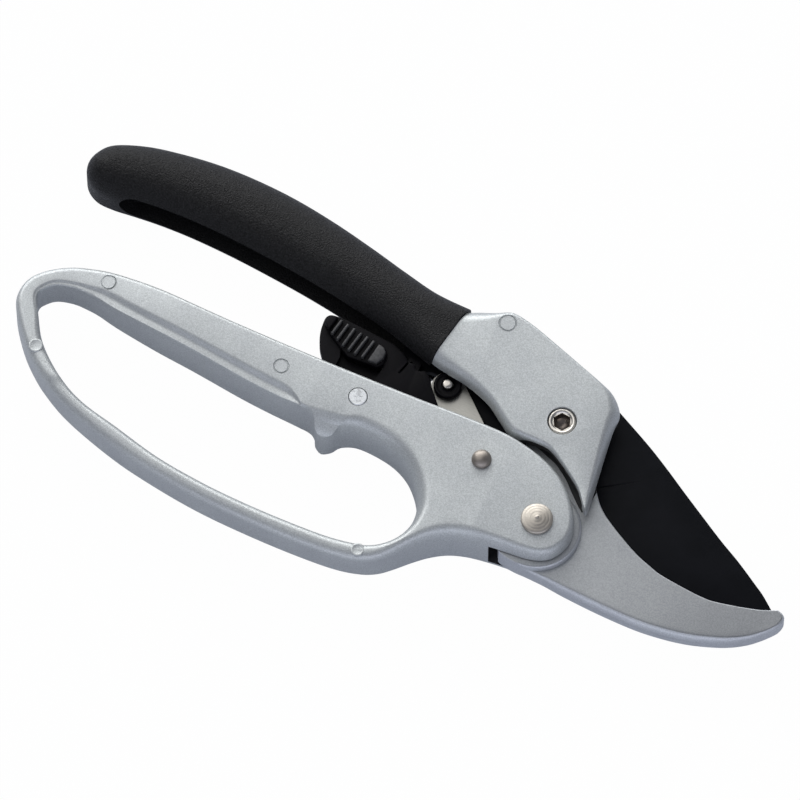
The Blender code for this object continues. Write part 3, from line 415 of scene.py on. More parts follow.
def rim_casting(name, outlines, material, front=FRONT, back=BACK, steps=9, level=None, folds=(),
                back_share=0.5, sections=(plain_section, plain_section)):
    """A casting: rows of outlines give its walls, and rims run from them up to both flat faces.

    Level gives half of its thickness at a place, and the faces bend at the folds for it.
    """
    shape = bmesh.new()
    middle = (front + back) / 2
    caps = {1: [], -1: []}
    for number, rows in enumerate(outlines):
        rows = without_repeats(rows)
        if (turning(rows) > 0) != (number == 0):
            rows = rows[::-1]
        normals = inward(rows)
        base = [shape.verts.new((row[0], row[1], middle)) for row in rows]
        base_edges = [shape.edges.new(pair) for pair in zip(base, base[1:] + base[:1])]
        count = len(LEDGE_SHARES) + len(LEDGE_STEP) if sections[number] is finger_section else steps
        for side in (1, -1):
            face = front if side > 0 else back
            ring, edges = base, base_edges
            for k in range(count):
                places = []
                for row, normal in zip(rows, normals):
                    if side > 0:
                        inset, depth = sections[number](row, k, count)
                    else:
                        inset, depth = (v * back_share for v in plain_section(row, k, count))
                    places.append((row[0] + normal.x * inset, row[1] + normal.y * inset,
                                   face - side * depth))
                ring, edges = grow_ring(shape, ring, edges, places)
            caps[side] += edges
    for side, edges in caps.items():
        made = bmesh.ops.triangle_fill(shape, use_beauty=True, use_dissolve=False, edges=edges)["geom"]
        faces = [item for item in made if isinstance(item, bmesh.types.BMFace)]
        for spot, direction in folds:
            faces = folded(shape, faces, spot, direction)
    if level:
        for vertex in shape.verts:
            half = level(vertex.co.x, vertex.co.y)
            vertex.co.z = middle + (vertex.co.z - middle) * half / (front - middle)
    bmesh.ops.recalc_face_normals(shape, faces=shape.faces)
    return settle(shape, name, material)


# Materials

# The colour sockets of a Mix node.
MIX_LOW, MIX_HIGH, MIX_RESULT = 6, 7, 2


class Finish:
    """A Principled material whose patterns read Object coordinates."""

    def __init__(self, name, roughness=0.5, metallic=0.0, **sockets):
        self.material = bpy.data.materials.new(name)
        self.material.use_nodes = True
        self.tree = self.material.node_tree
        self.shader = self.tree.nodes["Principled BSDF"]
        self.shader.inputs["Metallic"].default_value = metallic
        self.shader.inputs["Roughness"].default_value = roughness
        for socket, value in sockets.items():
            self.shader.inputs[socket.replace("_", " ")].default_value = value
        self.where = self.tree.nodes.new("ShaderNodeTexCoord").outputs["Object"]
        self.last_bump = None

    def stretched(self, scale):
        mapping = self.tree.nodes.new("ShaderNodeMapping")
        mapping.inputs["Scale"].default_value = scale
        self.tree.links.new(self.where, mapping.inputs["Vector"])
        return mapping.outputs["Vector"]

    def noise(self, size, detail=2.0, rough=0.5, where=None):
        """Noise whose patches are about the size, in millimetres."""
        node = self.tree.nodes.new("ShaderNodeTexNoise")
        node.inputs["Scale"].default_value = 1.0 / (size * MM)
        node.inputs["Detail"].default_value = detail
        node.inputs["Roughness"].default_value = rough
        self.tree.links.new(where or self.where, node.inputs["Vector"])
        return node.outputs["Fac"]

    def along(self, axis, start, end):
        """0 to 1 between two places in millimetres along the X, Y or Z axis."""
        place = self.tree.nodes.new("ShaderNodeSeparateXYZ")
        self.tree.links.new(self.where, place.inputs["Vector"])
        span = self.tree.nodes.new("ShaderNodeMapRange")
        self.tree.links.new(place.outputs[axis], span.inputs["Value"])
        span.inputs["From Min"].default_value = start * MM
        span.inputs["From Max"].default_value = end * MM
        return span.outputs["Result"]

    def ramp(self, source, stops, smooth=False):
        """Colours or greys along a pattern, from place and value pairs."""
        node = self.tree.nodes.new("ShaderNodeValToRGB")
        node.color_ramp.interpolation = "EASE" if smooth else "LINEAR"
        elements = node.color_ramp.elements
        while len(elements) < len(stops):
            elements.new(0.5)
        for element, (place, value) in zip(elements, stops):
            element.position = place
            element.color = (*value, 1.0) if isinstance(value, tuple) else (value, value, value, 1.0)
        self.tree.links.new(source, node.inputs["Fac"])
        return node.outputs["Color"]

    def blend(self, low, high, share, how="MIX"):
        """Two colours or patterns mixed by a share, which may be a pattern too."""
        node = self.tree.nodes.new("ShaderNodeMix")
        node.data_type = "RGBA"
        node.blend_type = how
        for name, value in (("Factor", share), (MIX_LOW, low), (MIX_HIGH, high)):
            socket = node.inputs[name]
            if isinstance(value, bpy.types.NodeSocket):
                self.tree.links.new(value, socket)
            else:
                socket.default_value = (*value, 1.0) if isinstance(value, tuple) else value
        return node.outputs[MIX_RESULT]

    def colour(self, source):
        self.tree.links.new(source, self.shader.inputs["Base Color"])

    def roughness(self, source):
        self.tree.links.new(source, self.shader.inputs["Roughness"])

    def bump(self, source, height, strength=1.0):
        """Raises the surface by the pattern, with its full height in millimetres."""
        node = self.tree.nodes.new("ShaderNodeBump")
        node.inputs["Strength"].default_value = strength
        node.inputs["Distance"].default_value = height * MM
        self.tree.links.new(source, node.inputs["Height"])
        if self.last_bump:
            self.tree.links.new(self.last_bump, node.inputs["Normal"])
        self.last_bump = node.outputs["Normal"]
        self.tree.links.new(self.last_bump, self.shader.inputs["Normal"])


def cast_paint(name, light, dark, shade_span=None):
    """Satin metallic paint: fine flakes, a slight orange peel, faint clouds, and painted shade that
    darkens it along x over a given span.
    """
    paint = Finish(name, roughness=0.45, metallic=0.55)
    flakes = paint.ramp(paint.noise(0.32, 1.0, 0.7), [(0.32, dark), (0.68, light)])
    clouds = paint.ramp(paint.noise(9.0, 3.0), [(0.3, (0.93, 0.93, 0.94)), (0.7, (1.0, 1.0, 1.0))])
    tone = paint.blend(flakes, clouds, 1.0, "MULTIPLY")
    # Painted shade: along x over the given span the colour falls to two thirds, standing in for light
    # that falls off there.
    if shade_span:
        painted_lighting = paint.ramp(paint.along("X", *shade_span), [(0.0, (1.0, 1.0, 1.0)), (1.0, (0.66, 0.66, 0.67))])
        tone = paint.blend(tone, painted_lighting, 1.0, "MULTIPLY")
    paint.colour(tone)
    paint.roughness(paint.ramp(paint.noise(0.4, 2.0), [(0.3, 0.4), (0.7, 0.52)]))
    paint.bump(paint.noise(1.4, 2.0), 0.02, 0.5)
    paint.bump(paint.noise(0.4, 1.0), 0.006, 0.8)
    return paint.material


def painted_shade_casting():
    """Painted shade for the castings' inner faces: a near-black finish that stands in for the shade
    between the cheeks and under the lip.
    """
    shade_finish = Finish("painted_shade_casting", roughness=0.5, metallic=0.3)
    patches = shade_finish.noise(2.0, 3.0)
    shade_finish.colour(shade_finish.ramp(patches, [(0.3, (0.02, 0.02, 0.021)), (0.7, (0.045, 0.045, 0.046))]))
    shade_finish.roughness(shade_finish.ramp(shade_finish.noise(1.0, 2.0), [(0.3, 0.4), (0.7, 0.6)]))
    return shade_finish.material


def dipped_vinyl():
    """Black dipped vinyl with its coarse grain."""
    dip = Finish("black_dipped_vinyl", roughness=0.4, Specular_IOR_Level=0.2)
    grain = dip.noise(0.42, 2.0, 0.6)
    dip.colour(dip.ramp(grain, [(0.38, (0.0005, 0.0005, 0.0006)), (0.66, (0.012, 0.012, 0.013))]))
    dip.roughness(dip.ramp(dip.noise(0.6, 2.0), [(0.3, 0.34), (0.7, 0.5)]))
    dip.bump(grain, 0.34, 1.0)
    dip.bump(dip.noise(4.0, 2.0), 0.1, 0.4)
    return dip.material


def coated_steel():
    """The blade's smooth black coating."""
    coat = Finish("black_coated_steel", roughness=0.4, Specular_IOR_Level=0.08)
    clouds = coat.noise(5.0, 3.0)
    coat.colour(coat.ramp(clouds, [(0.3, (0.002, 0.0025, 0.004)), (0.7, (0.0035, 0.004, 0.006))]))
    coat.roughness(coat.ramp(coat.noise(1.2, 4.0), [(0.3, 0.34), (0.7, 0.46)]))
    coat.bump(coat.noise(0.25, 2.0), 0.006, 0.6)
    return coat.material


def nickel_plate(name="nickel_plate", shade_height=None):
    """Satin nickel; given a height, painted shade darkens it below that height, for the shade inside a
    socket.
    """
    nickel = Finish(name, roughness=0.3, metallic=1.0)
    tone = nickel.ramp(nickel.noise(2.5, 2.0), [(0.3, (0.58, 0.55, 0.50)), (0.7, (0.65, 0.62, 0.57))])
    # Painted shade: below the given height the nickel turns dark brown, standing in for the shade inside
    # the socket.
    if shade_height:
        tone = nickel.blend((0.2, 0.17, 0.15), tone, nickel.along("Z", shade_height - 1.2, shade_height))
    nickel.colour(tone)
    nickel.roughness(nickel.ramp(nickel.noise(0.8, 2.0), [(0.3, 0.26), (0.7, 0.36)]))
    nickel.bump(nickel.noise(1.6, 1.0), 0.002, 0.4)
    return nickel.material


def turned_nickel(name, light, dark):
    """A rivet's head, duller and warmer than the screw's."""
    nickel = Finish(name, roughness=0.45, metallic=0.9)
    nickel.colour(nickel.ramp(nickel.noise(3.0, 2.0), [(0.3, dark), (0.7, light)]))
    nickel.roughness(nickel.ramp(nickel.noise(1.4, 1.0), [(0.3, 0.4), (0.7, 0.5)]))
    return nickel.material


def zinc_plate():
    """Brushed, slightly yellow zinc plate."""
    zinc = Finish("zinc_plate", roughness=0.42, metallic=0.85)
    brushed = zinc.noise(0.4, 3.0, 0.6, zinc.stretched((0.3, 2.0, 1.0)))
    zinc.colour(zinc.ramp(brushed, [(0.3, (0.42, 0.41, 0.37)), (0.7, (0.52, 0.51, 0.47))]))
    zinc.roughness(zinc.ramp(brushed, [(0.3, 0.36), (0.7, 0.5)]))
    zinc.bump(brushed, 0.01, 0.6)
    return zinc.material


def spring_wire():
    """Bright drawn wire."""
    wire = Finish("spring_steel", roughness=0.28, metallic=1.0)
    wire.colour(wire.ramp(wire.noise(0.6, 2.0), [(0.3, (0.5, 0.5, 0.5)), (0.7, (0.66, 0.66, 0.65))]))
    wire.roughness(wire.ramp(wire.noise(0.4, 2.0), [(0.3, 0.22), (0.7, 0.36)]))
    return wire.material


def moulded_nylon():
    """Dark moulded nylon, nearly black."""
    nylon = Finish("black_nylon", roughness=0.42, Specular_IOR_Level=0.1)
    flow = nylon.noise(3.0, 2.0)
    nylon.colour(nylon.ramp(flow, [(0.3, (0.0012, 0.001, 0.0018)), (0.7, (0.0025, 0.002, 0.0035))]))
    nylon.roughness(nylon.ramp(nylon.noise(0.6, 3.0), [(0.3, 0.34), (0.7, 0.48)]))
    nylon.bump(nylon.noise(0.4, 2.0), 0.01, 0.6)
    return nylon.material


def highlit_nylon():
    """Painted highlight for the thumb pad's ridges and its right block: a grey nylon that stands in for
    the light they catch.
    """
    painted_lighting = Finish("highlit_nylon", roughness=0.5, Specular_IOR_Level=0.4)
    sheen_patches = painted_lighting.noise(0.7, 3.0, 0.6)
    painted_lighting.colour(painted_lighting.ramp(sheen_patches, [(0.3, (0.03, 0.03, 0.031)), (0.7, (0.07, 0.07, 0.071))]))
    painted_lighting.roughness(painted_lighting.ramp(painted_lighting.noise(0.6, 3.0), [(0.3, 0.42), (0.7, 0.58)]))
    painted_lighting.bump(painted_lighting.noise(0.4, 2.0), 0.02, 0.6)
    return painted_lighting.material


def worn_pin():
    """The lock pin's paint, scuffed through at the middle where it was struck."""
    pin = Finish("struck_pin_end", roughness=0.42, metallic=0.6)
    flakes = pin.ramp(pin.noise(0.3, 1.0, 0.6), [(0.34, (0.6, 0.62, 0.63)), (0.66, (0.74, 0.76, 0.77))])
    scuffs = pin.ramp(pin.noise(0.9, 2.0, 0.6), [(0.36, (0.6, 0.6, 0.6)), (0.46, (1.0, 1.0, 1.0))])
    pin.colour(pin.blend(flakes, scuffs, 0.8, "MULTIPLY"))
    pin.bump(pin.noise(0.9, 2.0, 0.6), 0.08, 0.6)
    return pin.material


def finished(item, body, node):
    """Puts a piece on its body in the place of its node."""
    edges_sharp(item)
    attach(item, body)
    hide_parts(node)


# Castings

def loop_half(x, y):
    """Half of the lower handle's thickness, which thins along the guard and the loop's end."""
    along_guard = eased((Vector((x, y)) - GUARD_ROOT).dot(GUARD_COURSE) / GUARD_THINS)
    below_fork = eased((-36.0 - y) / 8.0)
    along_end = eased((-100.0 - x) / 35.0)
    return HALF + (GUARD_HALF - HALF) * max(along_guard * below_fork, along_end)


def raised_mark(name, spot, radius, height, material):
    """A low disc left on the casting by an ejector pin."""
    top = MID + loop_half(*spot) + height
    profile = [(0, top - 2), (radius, top - 2), (radius, top - 0.2), (radius - 0.12, top - 0.06),
               (radius - 0.3, top), (radius - 0.5, top - 0.04), (radius - 0.7, top - 0.12),
               (0, top - 0.12)]
    item = turned(name, profile, spot, material, steps=40)
    finished(item, "lower_body", "lower_handle")


def pin_mark(name, spot, top, radius=2.2):
    """A ring pressed into the casting by an ejector pin, as a cutter."""
    profile = [(radius - 0.3, top + 2), (radius - 0.3, top - 0.05), (radius - 0.15, top - 0.3),
               (radius, top - 0.3), (radius + 0.2, top - 0.02), (radius + 0.2, top + 2)]
    return turned(name, profile, spot, steps=40)


def lower_handle(material, inner_shade):
    """The casting with its guard loop, the ledge in the finger hole, the spur and the fork's slot."""
    outer = smooth_rows(LOWER_RIM, 0.9, closed=True)
    hole = smooth_rows(HOLE_RIM, 0.7, closed=True)
    folds = [((0, -36.0 - i * 1.2, 0), (0, 1, 0)) for i in range(14)]
    folds += [((-18.0 - i * 1.5, 0, 0), (1, 0, 0)) for i in range(16)]
    folds += [((-100.0 - i * 2.5, 0, 0), (1, 0, 0)) for i in range(17)]
    item = rim_casting("cast_lower_handle", [outer, hole], material, level=loop_half, folds=folds,
                       sections=(plain_section, finger_section))
    slot = [(-67.0, 5.0), (-67.0, -14.2), (-62.0, -20.2), (-40.0, -20.2), (-24.0, -25.1), (-10.0, -25.1)]
    slot += arc(BIG_RIVET, BOSS_RADIUS + BOSS_ROOM, 160, 214, 16)
    slot += [(-3.3, -39.4), (-3.3, -60.0), (40.0, -60.0), (40.0, 5.0)]
    # The slot's faces take the painted shade: a near-black finish for the shade inside the fork.
    cut(item, plate("slot", [slot], SLOT_LOW, SLOT_HIGH, inner_shade))
    cut(item, swept("spur_top", SPUR_TOP, Vector((-63.2, -23.1, 0)), Vector((-45.0, -20.2, 0))))
    bore(item, LOCK, LOCK_BORE)
    for i, spot in enumerate(((-72.4, -16.0), (-123.3, -12.4))):
        cut(item, pin_mark(f"mark_{i}", spot, MID + loop_half(*spot), 1.95))
    raised_mark("end_mark", (-133.2, -36.0), 1.9, 0.22, material)
    raised_mark("guard_mark", (-33.8, -53.4), 1.8, 0.1, material)
    finished(item, "lower_body", "lower_handle")


def upper_handle(material, inner_shade):
    """The head: two cheeks over a channel, with a relieved lip beside the boss and the screw's seat."""
    item = rim_casting("cast_head", [smooth_rows(HEAD_RIM, 0.8, closed=True)], material)
    wide = [(-60.0, -40.0), (-60.0, 13.2), (-36.0, 13.6), (-12.0, 11.6), (0.0, 11.6), (11.0, 12.2),
            (30.0, 9.0), (30.0, -40.0)]
    # The channel's faces take the painted shade, near black for the shade between the cheeks.
    cut(item, plate("head_channel", [wide], SLOT_LOW, SLOT_HIGH, inner_shade))
    under_lip = [(-10.4, -8.8), (-6.0, -8.15), (-1.5, -7.85), (0.9, -8.35), (3.8, -9.85), (7.6, -12.3),
                 (11.1, -15.05), (14.3, -18.3), (12.5, -22.0), (6.0, -18.0), (-1.0, -13.0),
                 (-10.4, -12.0)]
    # The faces under the lip take the painted shade, near black for the shade beneath it.
    cut(item, plate("under_lip", [under_lip], SLOT_HIGH - 0.5, 16.2, inner_shade))
    in_grip = [(-70.0, -30.0), (-43.7, -30.0), (-30.9, 40.0), (-70.0, 40.0)]
    cut(item, plate("neck_end", [in_grip], BELOW_ALL, ABOVE_ALL))
    seat = [(0, 13.2), (3.8, 13.2), (3.8, 17.3), (3.95, 17.55), (3.95, ABOVE_ALL), (0, ABOVE_ALL)]
    cut(item, turned("screw_seat", seat, MAIN))
    cut(item, pin_mark("head_mark", (-23.9, 19.1), FRONT))
    finished(item, "upper_body", "upper_handle")


def upper_grip(material):
    """The dipped sleeve, crowned all round and open along its underside."""
    item = rim_casting("grip_sleeve", [smooth_rows(GRIP_RIM + GRIP_END, 1.0, closed=True)], material,
                       front=18.0, back=0.0, steps=16, back_share=0.56)
    beyond = [(-34.6, 20.7), (-31.0, 40.4), (20.0, 40.4), (20.0, -20.0), (-42.0, -19.5), (-38.0, 2.1)]
    cut(item, plate("grip_end", [beyond], BELOW_ALL, ABOVE_ALL))
    half_width = 4.4
    round_end = [(-127.0 - u, MID + v) for u, v in arc((0.0, 0.0), half_width, -90, 90, 14)]
    opening = plate("grip_opening", [round_end + [(-20.0, MID + half_width), (-20.0, MID - half_width)]],
                    -18.0, 20.0)
    opening.data.transform(STANDING)
    cut(item, opening)
    finished(item, "upper_body", "upper_grip")


def crown_at(x):
    """HOOK_CROWN's row for a place along the jaw, without its x."""
    before = max((row for row in HOOK_CROWN if row[0] <= x), default=HOOK_CROWN[0])
    after = min((row for row in HOOK_CROWN if row[0] > x), default=HOOK_CROWN[-1])
    share = 0.0 if after[0] == before[0] else (x - before[0]) / (after[0] - before[0])
    share = min(1.0, max(0.0, share))
    return tuple(before[i] + (after[i] - before[i]) * share for i in (1, 2, 3))


def hook(material, rim_painted_light, inner_shade):
    """The counter blade with its arm, the round boss, the stop tab beside it and its crowned face."""
    edge = smooth_rows(HOOK_EDGE, 0.8)
    nose = smooth_rows(HOOK_NOSE, 0.8)
    tab = [(7.2, -39.3), (4.0, -39.25), (1.5, -39.0), (-0.2, -38.5), (-0.95, -38.15), (-1.05, -37.7)]
    hidden = tab + arc(BIG_RIVET, BOSS_RADIUS + 0.08, -125, -200, 20)
    hidden += smooth_rows([(-6.2, -19.0), (-6.4, -12.5)], 0.8) + arc(MAIN, ARM_RADIUS, 215, -30, 40)
    rows = [(*p, 0.2, 0.0, 0.4) for p in edge] + [(*p, *crown_at(p[0])) for p in nose[1:-1]]
    rows += [(*p, 0.2, 0.0, 0.6) for p in hidden]
    item = rim_casting("cast_hook", [rows], material, front=JAW_FACE, back=JAW_FACE - JAW_THICKNESS,
                       steps=16, sections=(crowned_section,))
    recess = (arc(BIG_RIVET, BOSS_RADIUS, -20, 161, 40) + [(-30.0, -10.0), (-30.0, 30.0), (90.0, 30.0)]
              + smooth_rows(HOOK_RIM_INNER, 1.5)[::-1])
    cut(item, plate("blade_recess", [recess], BELOW_ALL, RECESS_TOP))
    boss = [(0, 3.7), (8.9, 3.7), (8.9, 5.5), (BOSS_RADIUS, 5.5), (BOSS_RADIUS, BOSS_TOP - 0.75),
            (BOSS_RADIUS - 0.1, BOSS_TOP - 0.4), (BOSS_RADIUS - 0.35, BOSS_TOP - 0.12),
            (BOSS_RADIUS - 0.8, BOSS_TOP), (0, BOSS_TOP)]
    join(item, turned("hook_boss", boss, BIG_RIVET, steps=96))
    raised = [(5.3, -39.2), (4.0, -39.16), (1.5, -38.92), (-0.2, -38.42), (-0.87, -38.1), (-0.97, -37.7),
              (1.0, -36.0), (5.3, -36.0)]
    join(item, plate("stop_tab", [raised], 5.9, BOSS_TOP - 0.1, edge=0.2))
    relief = smooth_rows([(-9.0, -5.6), (-3.2, -7.2), (-0.2, -8.3), (2.3, -9.2), (4.5, -10.6),
                          (6.8, -12.3), (9.4, -14.8), (11.9, -17.1), (14.0, -18.8)], 0.6)
    relief += [(14.9, -17.8), (15.5, -8.0), (10.0, 0.0), (-9.0, 0.0)]
    # The relief's faces take the painted shade, near black for the shade under the head's lip.
    cut(item, plate("arm_relief", [relief], JAW_FACE - 0.3, ABOVE_ALL, inner_shade))
    pocket = [(-1.3, -41.0), (-1.3, -37.6), (-3.8, -32.6), (-9.0, -32.6), (-9.0, -41.0)]
    # The pocket's faces take the painted shade, near black for the shade beside the boss.
    cut(item, plate("boss_pocket", [pocket], BELOW_ALL, ABOVE_ALL, inner_shade))
    bore(item, MAIN, SLEEVE_BORE)
    bore(item, BIG_RIVET, RIVET_BORE)
    # Faces that tilt from the top take a lighter, bluer copy of the paint: painted light for the bright
    # rim and its edge lines.
    item.data.materials.append(rim_painted_light)
    for face in item.data.polygons:
        if face.material_index == 0 and face.normal.z < FLAT_ENOUGH:
            face.material_index = len(item.data.materials) - 1
    finished(item, "hook_body", "hook")


def blade(material):
    """The blade and its notched tang, with the grind line that fades towards the spine."""
    notches = [(-11.5, -7.8), (-17.0, -6.6), (-22.5, -4.4), (LINK_END[0] + SEAT_RADIUS + 3.0, -1.6)]
    for centre in SEATS:
        notches += arc(centre, SEAT_RADIUS, 0, 165, 14)
    tail = [(-46.95, 0.6), (-46.95, 6.1), (-44.45, 8.6), (-27.9, 9.0), (TANG_PIN[0], 9.4)]
    outline = smooth_rows(BLADE_SPINE, 0.8) + smooth_rows(BLADE_EDGE, 0.8)
    outline += arc(MAIN, TANG_RADIUS, -65, -140, 14) + notches
    outline += tail + arc(MAIN, TANG_RADIUS, 125, 80, 10)
    item = plate("ground_blade", [outline], BLADE_LOW, BLADE_HIGH, material, edge=0.15, segments=2)
    groove = [(-0.45, 0.55), (0.0, -0.3), (0.25, -0.3), (0.7, 0.55)]
    cut(item, swept("grind_line", groove, GRIND_FADES, GRIND_STARTS))
    bore(item, MAIN, SLEEVE_BORE)
    bore(item, TANG_PIN, TANG_PIN_BORE)
    finished(item, "upper_body", "blade")


def pivot_screw(material):
    """The hex socket screw: a chamfered head, its socket and the drilled cone at the bottom."""
    profile = [(0, 1.5), (2.5, 1.5), (2.5, 13.7), (3.5, 13.7), (3.6, 13.8), (3.6, 16.7), (3.52, 16.95),
               (3.36, 17.1), (3.1, 17.15), (2.85, 17.1), (2.6, 16.86), (2.45, 16.7), (0, 16.7)]
    item = turned("hex_socket_screw", profile, MAIN, material, steps=72)
    cut(item, plate("hexagon", [arc(MAIN, 2.5, -6, 294, 5)], 14.4, 20.0),
        turned("drilled_cone", [(0, 12.6), (1.98, 14.45), (0, 14.45)], MAIN, steps=36))
    finished(item, "upper_body", "pivot_screw")


def rivet(name, centre, shank, head, dome, body, material):
    """A domed rivet with its flat back head."""
    radius = head / 2
    profile = [(0, 0), (radius - 0.2, 0), (radius, 0.2), (radius, 1.2), (shank / 2, 1.2),
               (shank / 2, FRONT + 0.02), (radius - 0.15, FRONT + 0.02)]
    item = turned(f"{name}_head", profile + dome, centre, material, steps=72)
    finished(item, body, name)


def rivets(material, tarnished):
    """The big rivet's low dome, with turned rings and a nib, and the small rivet's high one."""
    low_dome = [(4.15, 17.7), (4.15, 18.4), (4.05, 18.56), (3.9, 18.66), (3.7, 18.74), (3.45, 18.82),
                (3.3, 18.86), (3.2, 18.85), (3.05, 18.94), (2.5, 19.1), (2.35, 19.1), (2.2, 19.17),
                (1.6, 19.29), (1.45, 19.28), (1.3, 19.33), (0.6, 19.42), (0.42, 19.46), (0.28, 19.6),
                (0.12, 19.7), (0, 19.72)]
    rivet("hook_rivet", BIG_RIVET, 6.0, 8.3, low_dome, "lower_body", material)
    quarter = arc((0.0, 0.0), 1.0, 0, 81, 9)
    high_dome = [(2.6 * across, 17.9 + 2.0 * up) for across, up in quarter] + [(0, 19.9)]
    rivet("link_rivet", SMALL_RIVET, 4.0, 5.2, high_dome, "lower_body", tarnished)


def lock_pin(material):
    """The flush pin, with the dents of the punch that set it."""
    profile = [(0, 0.6), (2.4, 0.6), (2.4, 17.4), (2.2, 17.6), (0, 17.6)]
    item = turned("struck_lock_pin", profile, LOCK, material, steps=56)
    for i, angle in enumerate((20.0, 78.0, 140.0)):
        along = Vector((math.cos(math.radians(angle)), math.sin(math.radians(angle))))
        side = Vector((-along.y, along.x)) * 0.16
        spot = Vector(LOCK)
        dent = [spot + along * 1.1 + side * 0.3, spot + side, spot - along * 0.9 + side * 0.3,
                spot - along * 0.9 - side * 0.3, spot - side, spot + along * 1.1 - side * 0.3]
        cut(item, plate(f"dent_{i}", [[tuple(p) for p in dent]], 17.45, 19.0))
    finished(item, "lower_body", "lock_pin")


def link_end(nickel, nylon):
    """The link's pin with its small dome, and the black roller round it."""
    pin = [(0, 3.7), (1.35, 3.7), (1.35, 12.5), (1.28, 12.72), (1.05, 12.88), (0.6, 12.97), (0, 13.0)]
    finished(turned("domed_link_pin", pin, LINK_END, nickel, steps=40), "link_body", "link_pin")
    roller = [(1.65, 10.2), (3.5, 10.2), (3.7, 10.4), (3.7, 11.5), (3.62, 11.78), (3.4, 11.95),
              (3.1, 12.0), (2.9, 11.95), (2.7, 11.7), (2.1, 11.62), (1.8, 11.7), (1.65, 11.85)]
    finished(turned("grooved_roller", roller, LINK_END, nylon, steps=56), "link_body", "link_roller")


def lock_lever(material, painted_lighting):
    """The thumb lock: its plate in the fork, the pad with its block ends and the narrow ridges."""
    nose = arc(LINK_END, 4.3, 200, 232, 8)
    hub = arc(LOCK, 4.4, -25, -150, 16)
    top = smooth_rows([(-68.3, 1.2), (-68.2, 3.0), (-66.9, 4.1), (-63.0, 4.4)], 0.4)
    top += [(-49.0, 3.2), (-46.0, 2.0), (-43.9, 0.4)]
    top += smooth_rows([(-43.5, 0.0), (-42.6, 0.3), (-41.6, 0.1), (-41.0, -0.9), (-39.8, -0.9),
                        (-38.6, -0.4), (-37.4, -0.9)], 0.3)
    under = [(-31.3, -8.1), (-33.0, -10.6), (-40.0, -14.0), (-44.5, -18.0)]
    left_side = smooth_rows([(-61.4, -13.0), (-64.0, -8.6), (-66.2, -5.6), (-67.5, -2.8),
                             (-68.1, -0.6)], 0.8)
    item = plate("thumb_lock", [top + nose + under + hub + left_side], LEVER_LOW, LEVER_HIGH, material,
                 edge=0.25)
    backing = [(-44.2, -3.0), (-44.2, 2.4), (-40.7, 2.4), (-40.7, -3.0)]
    join(item, plate("backing", [backing], 8.8, 10.6))
    join(item, turned("lock_hub", [(0, 3.7), (4.4, 3.7), (4.4, 12.5), (0, 12.5)], LOCK))
    hollow = [(-61.2, -3.6), (-60.4, -5.8), (-60.6, -12.0), (-51.0, -12.0), (-49.4, -7.4), (-49.0, -4.4)]
    cut(item, plate("hollow", [hollow], 11.0, 14.0))
    foot = [(-67.4, 0.4), (-67.8, 2.4), (-66.9, 3.5), (-65.4, 3.5), (-50.2, 0.6), (-49.2, -0.6),
            (-49.0, -3.6), (-50.2, -5.0), (-58.4, -5.4), (-61.2, -3.8), (-64.9, -1.6)]
    join(item, plate("pad_foot", [foot], 6.0, PAD_FLOOR, edge=0.35, segments=3))
    slit = [(-44.9, -3.6), (-44.3, -3.9), (-42.9, 1.4), (-43.4, 1.6)]
    cut(item, plate("slit", [slit], 9.0, 15.0))
    bore(item, LOCK, LEVER_BORE)
    left_block = [(-67.3, 0.6), (-67.5, 2.2), (-66.6, 3.1), (-64.9, 3.0), (-65.6, -0.9), (-66.2, -0.7)]
    right_block = [(-52.2, 0.7), (-50.6, 0.3), (-49.7, -0.6), (-49.5, -2.4), (-50.6, -4.4),
                   (-53.0, -4.7)]
    sunk = PAD_FLOOR - 0.4
    join(item, plate("left_block", [left_block], sunk, 15.9, edge=0.4, segments=3))
    # The right block and the ridges take the grey nylon, a painted highlight for the light they catch.
    pad = plate("pad_ridges", [right_block], sunk, 15.9, painted_lighting, edge=0.4, segments=3)
    tops = [(-63.7, 2.8), (-61.7, 2.4), (-59.7, 2.0), (-57.6, 1.6), (-55.7, 1.3), (-53.7, 0.9)]
    feet = [(-64.5, -1.6), (-62.6, -2.6), (-60.6, -3.6), (-58.7, -4.1), (-56.8, -4.4), (-54.7, -4.5)]
    half_ridge = 0.34
    for i, (high, low) in enumerate(zip(tops, feet)):
        ridge = [(high[0] + half_ridge, high[1]), (high[0] - half_ridge, high[1]),
                 (low[0] - half_ridge, low[1]), (low[0] + half_ridge, low[1])]
        join(pad, plate(f"ridge_{i}", [ridge], sunk, 16.1, edge=0.3, segments=4))
    finished(pad, "lock_body", "lock_lever")
    finished(item, "lock_body", "lock_lever")


def dress_nodes(names, material):
    """Nodes whose own shape is shown get the detailed finish."""
    for name in names:
        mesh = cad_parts[name].data
        mesh.materials.clear()
        mesh.materials.append(material)


# Studio

TURN = math.radians(24.3)
RIGHT = Vector((math.cos(TURN), math.sin(TURN), 0.0))
AHEAD = Vector((-math.sin(TURN), math.cos(TURN), 0.0))
CENTRE = Vector((-0.0405, -0.012, FRONT * MM))
ELEVATION = math.radians(68.0)
VIEW_WIDTH = 0.80 / 3.87
COOL_WHITE = (0.84, 0.87, 1.0)


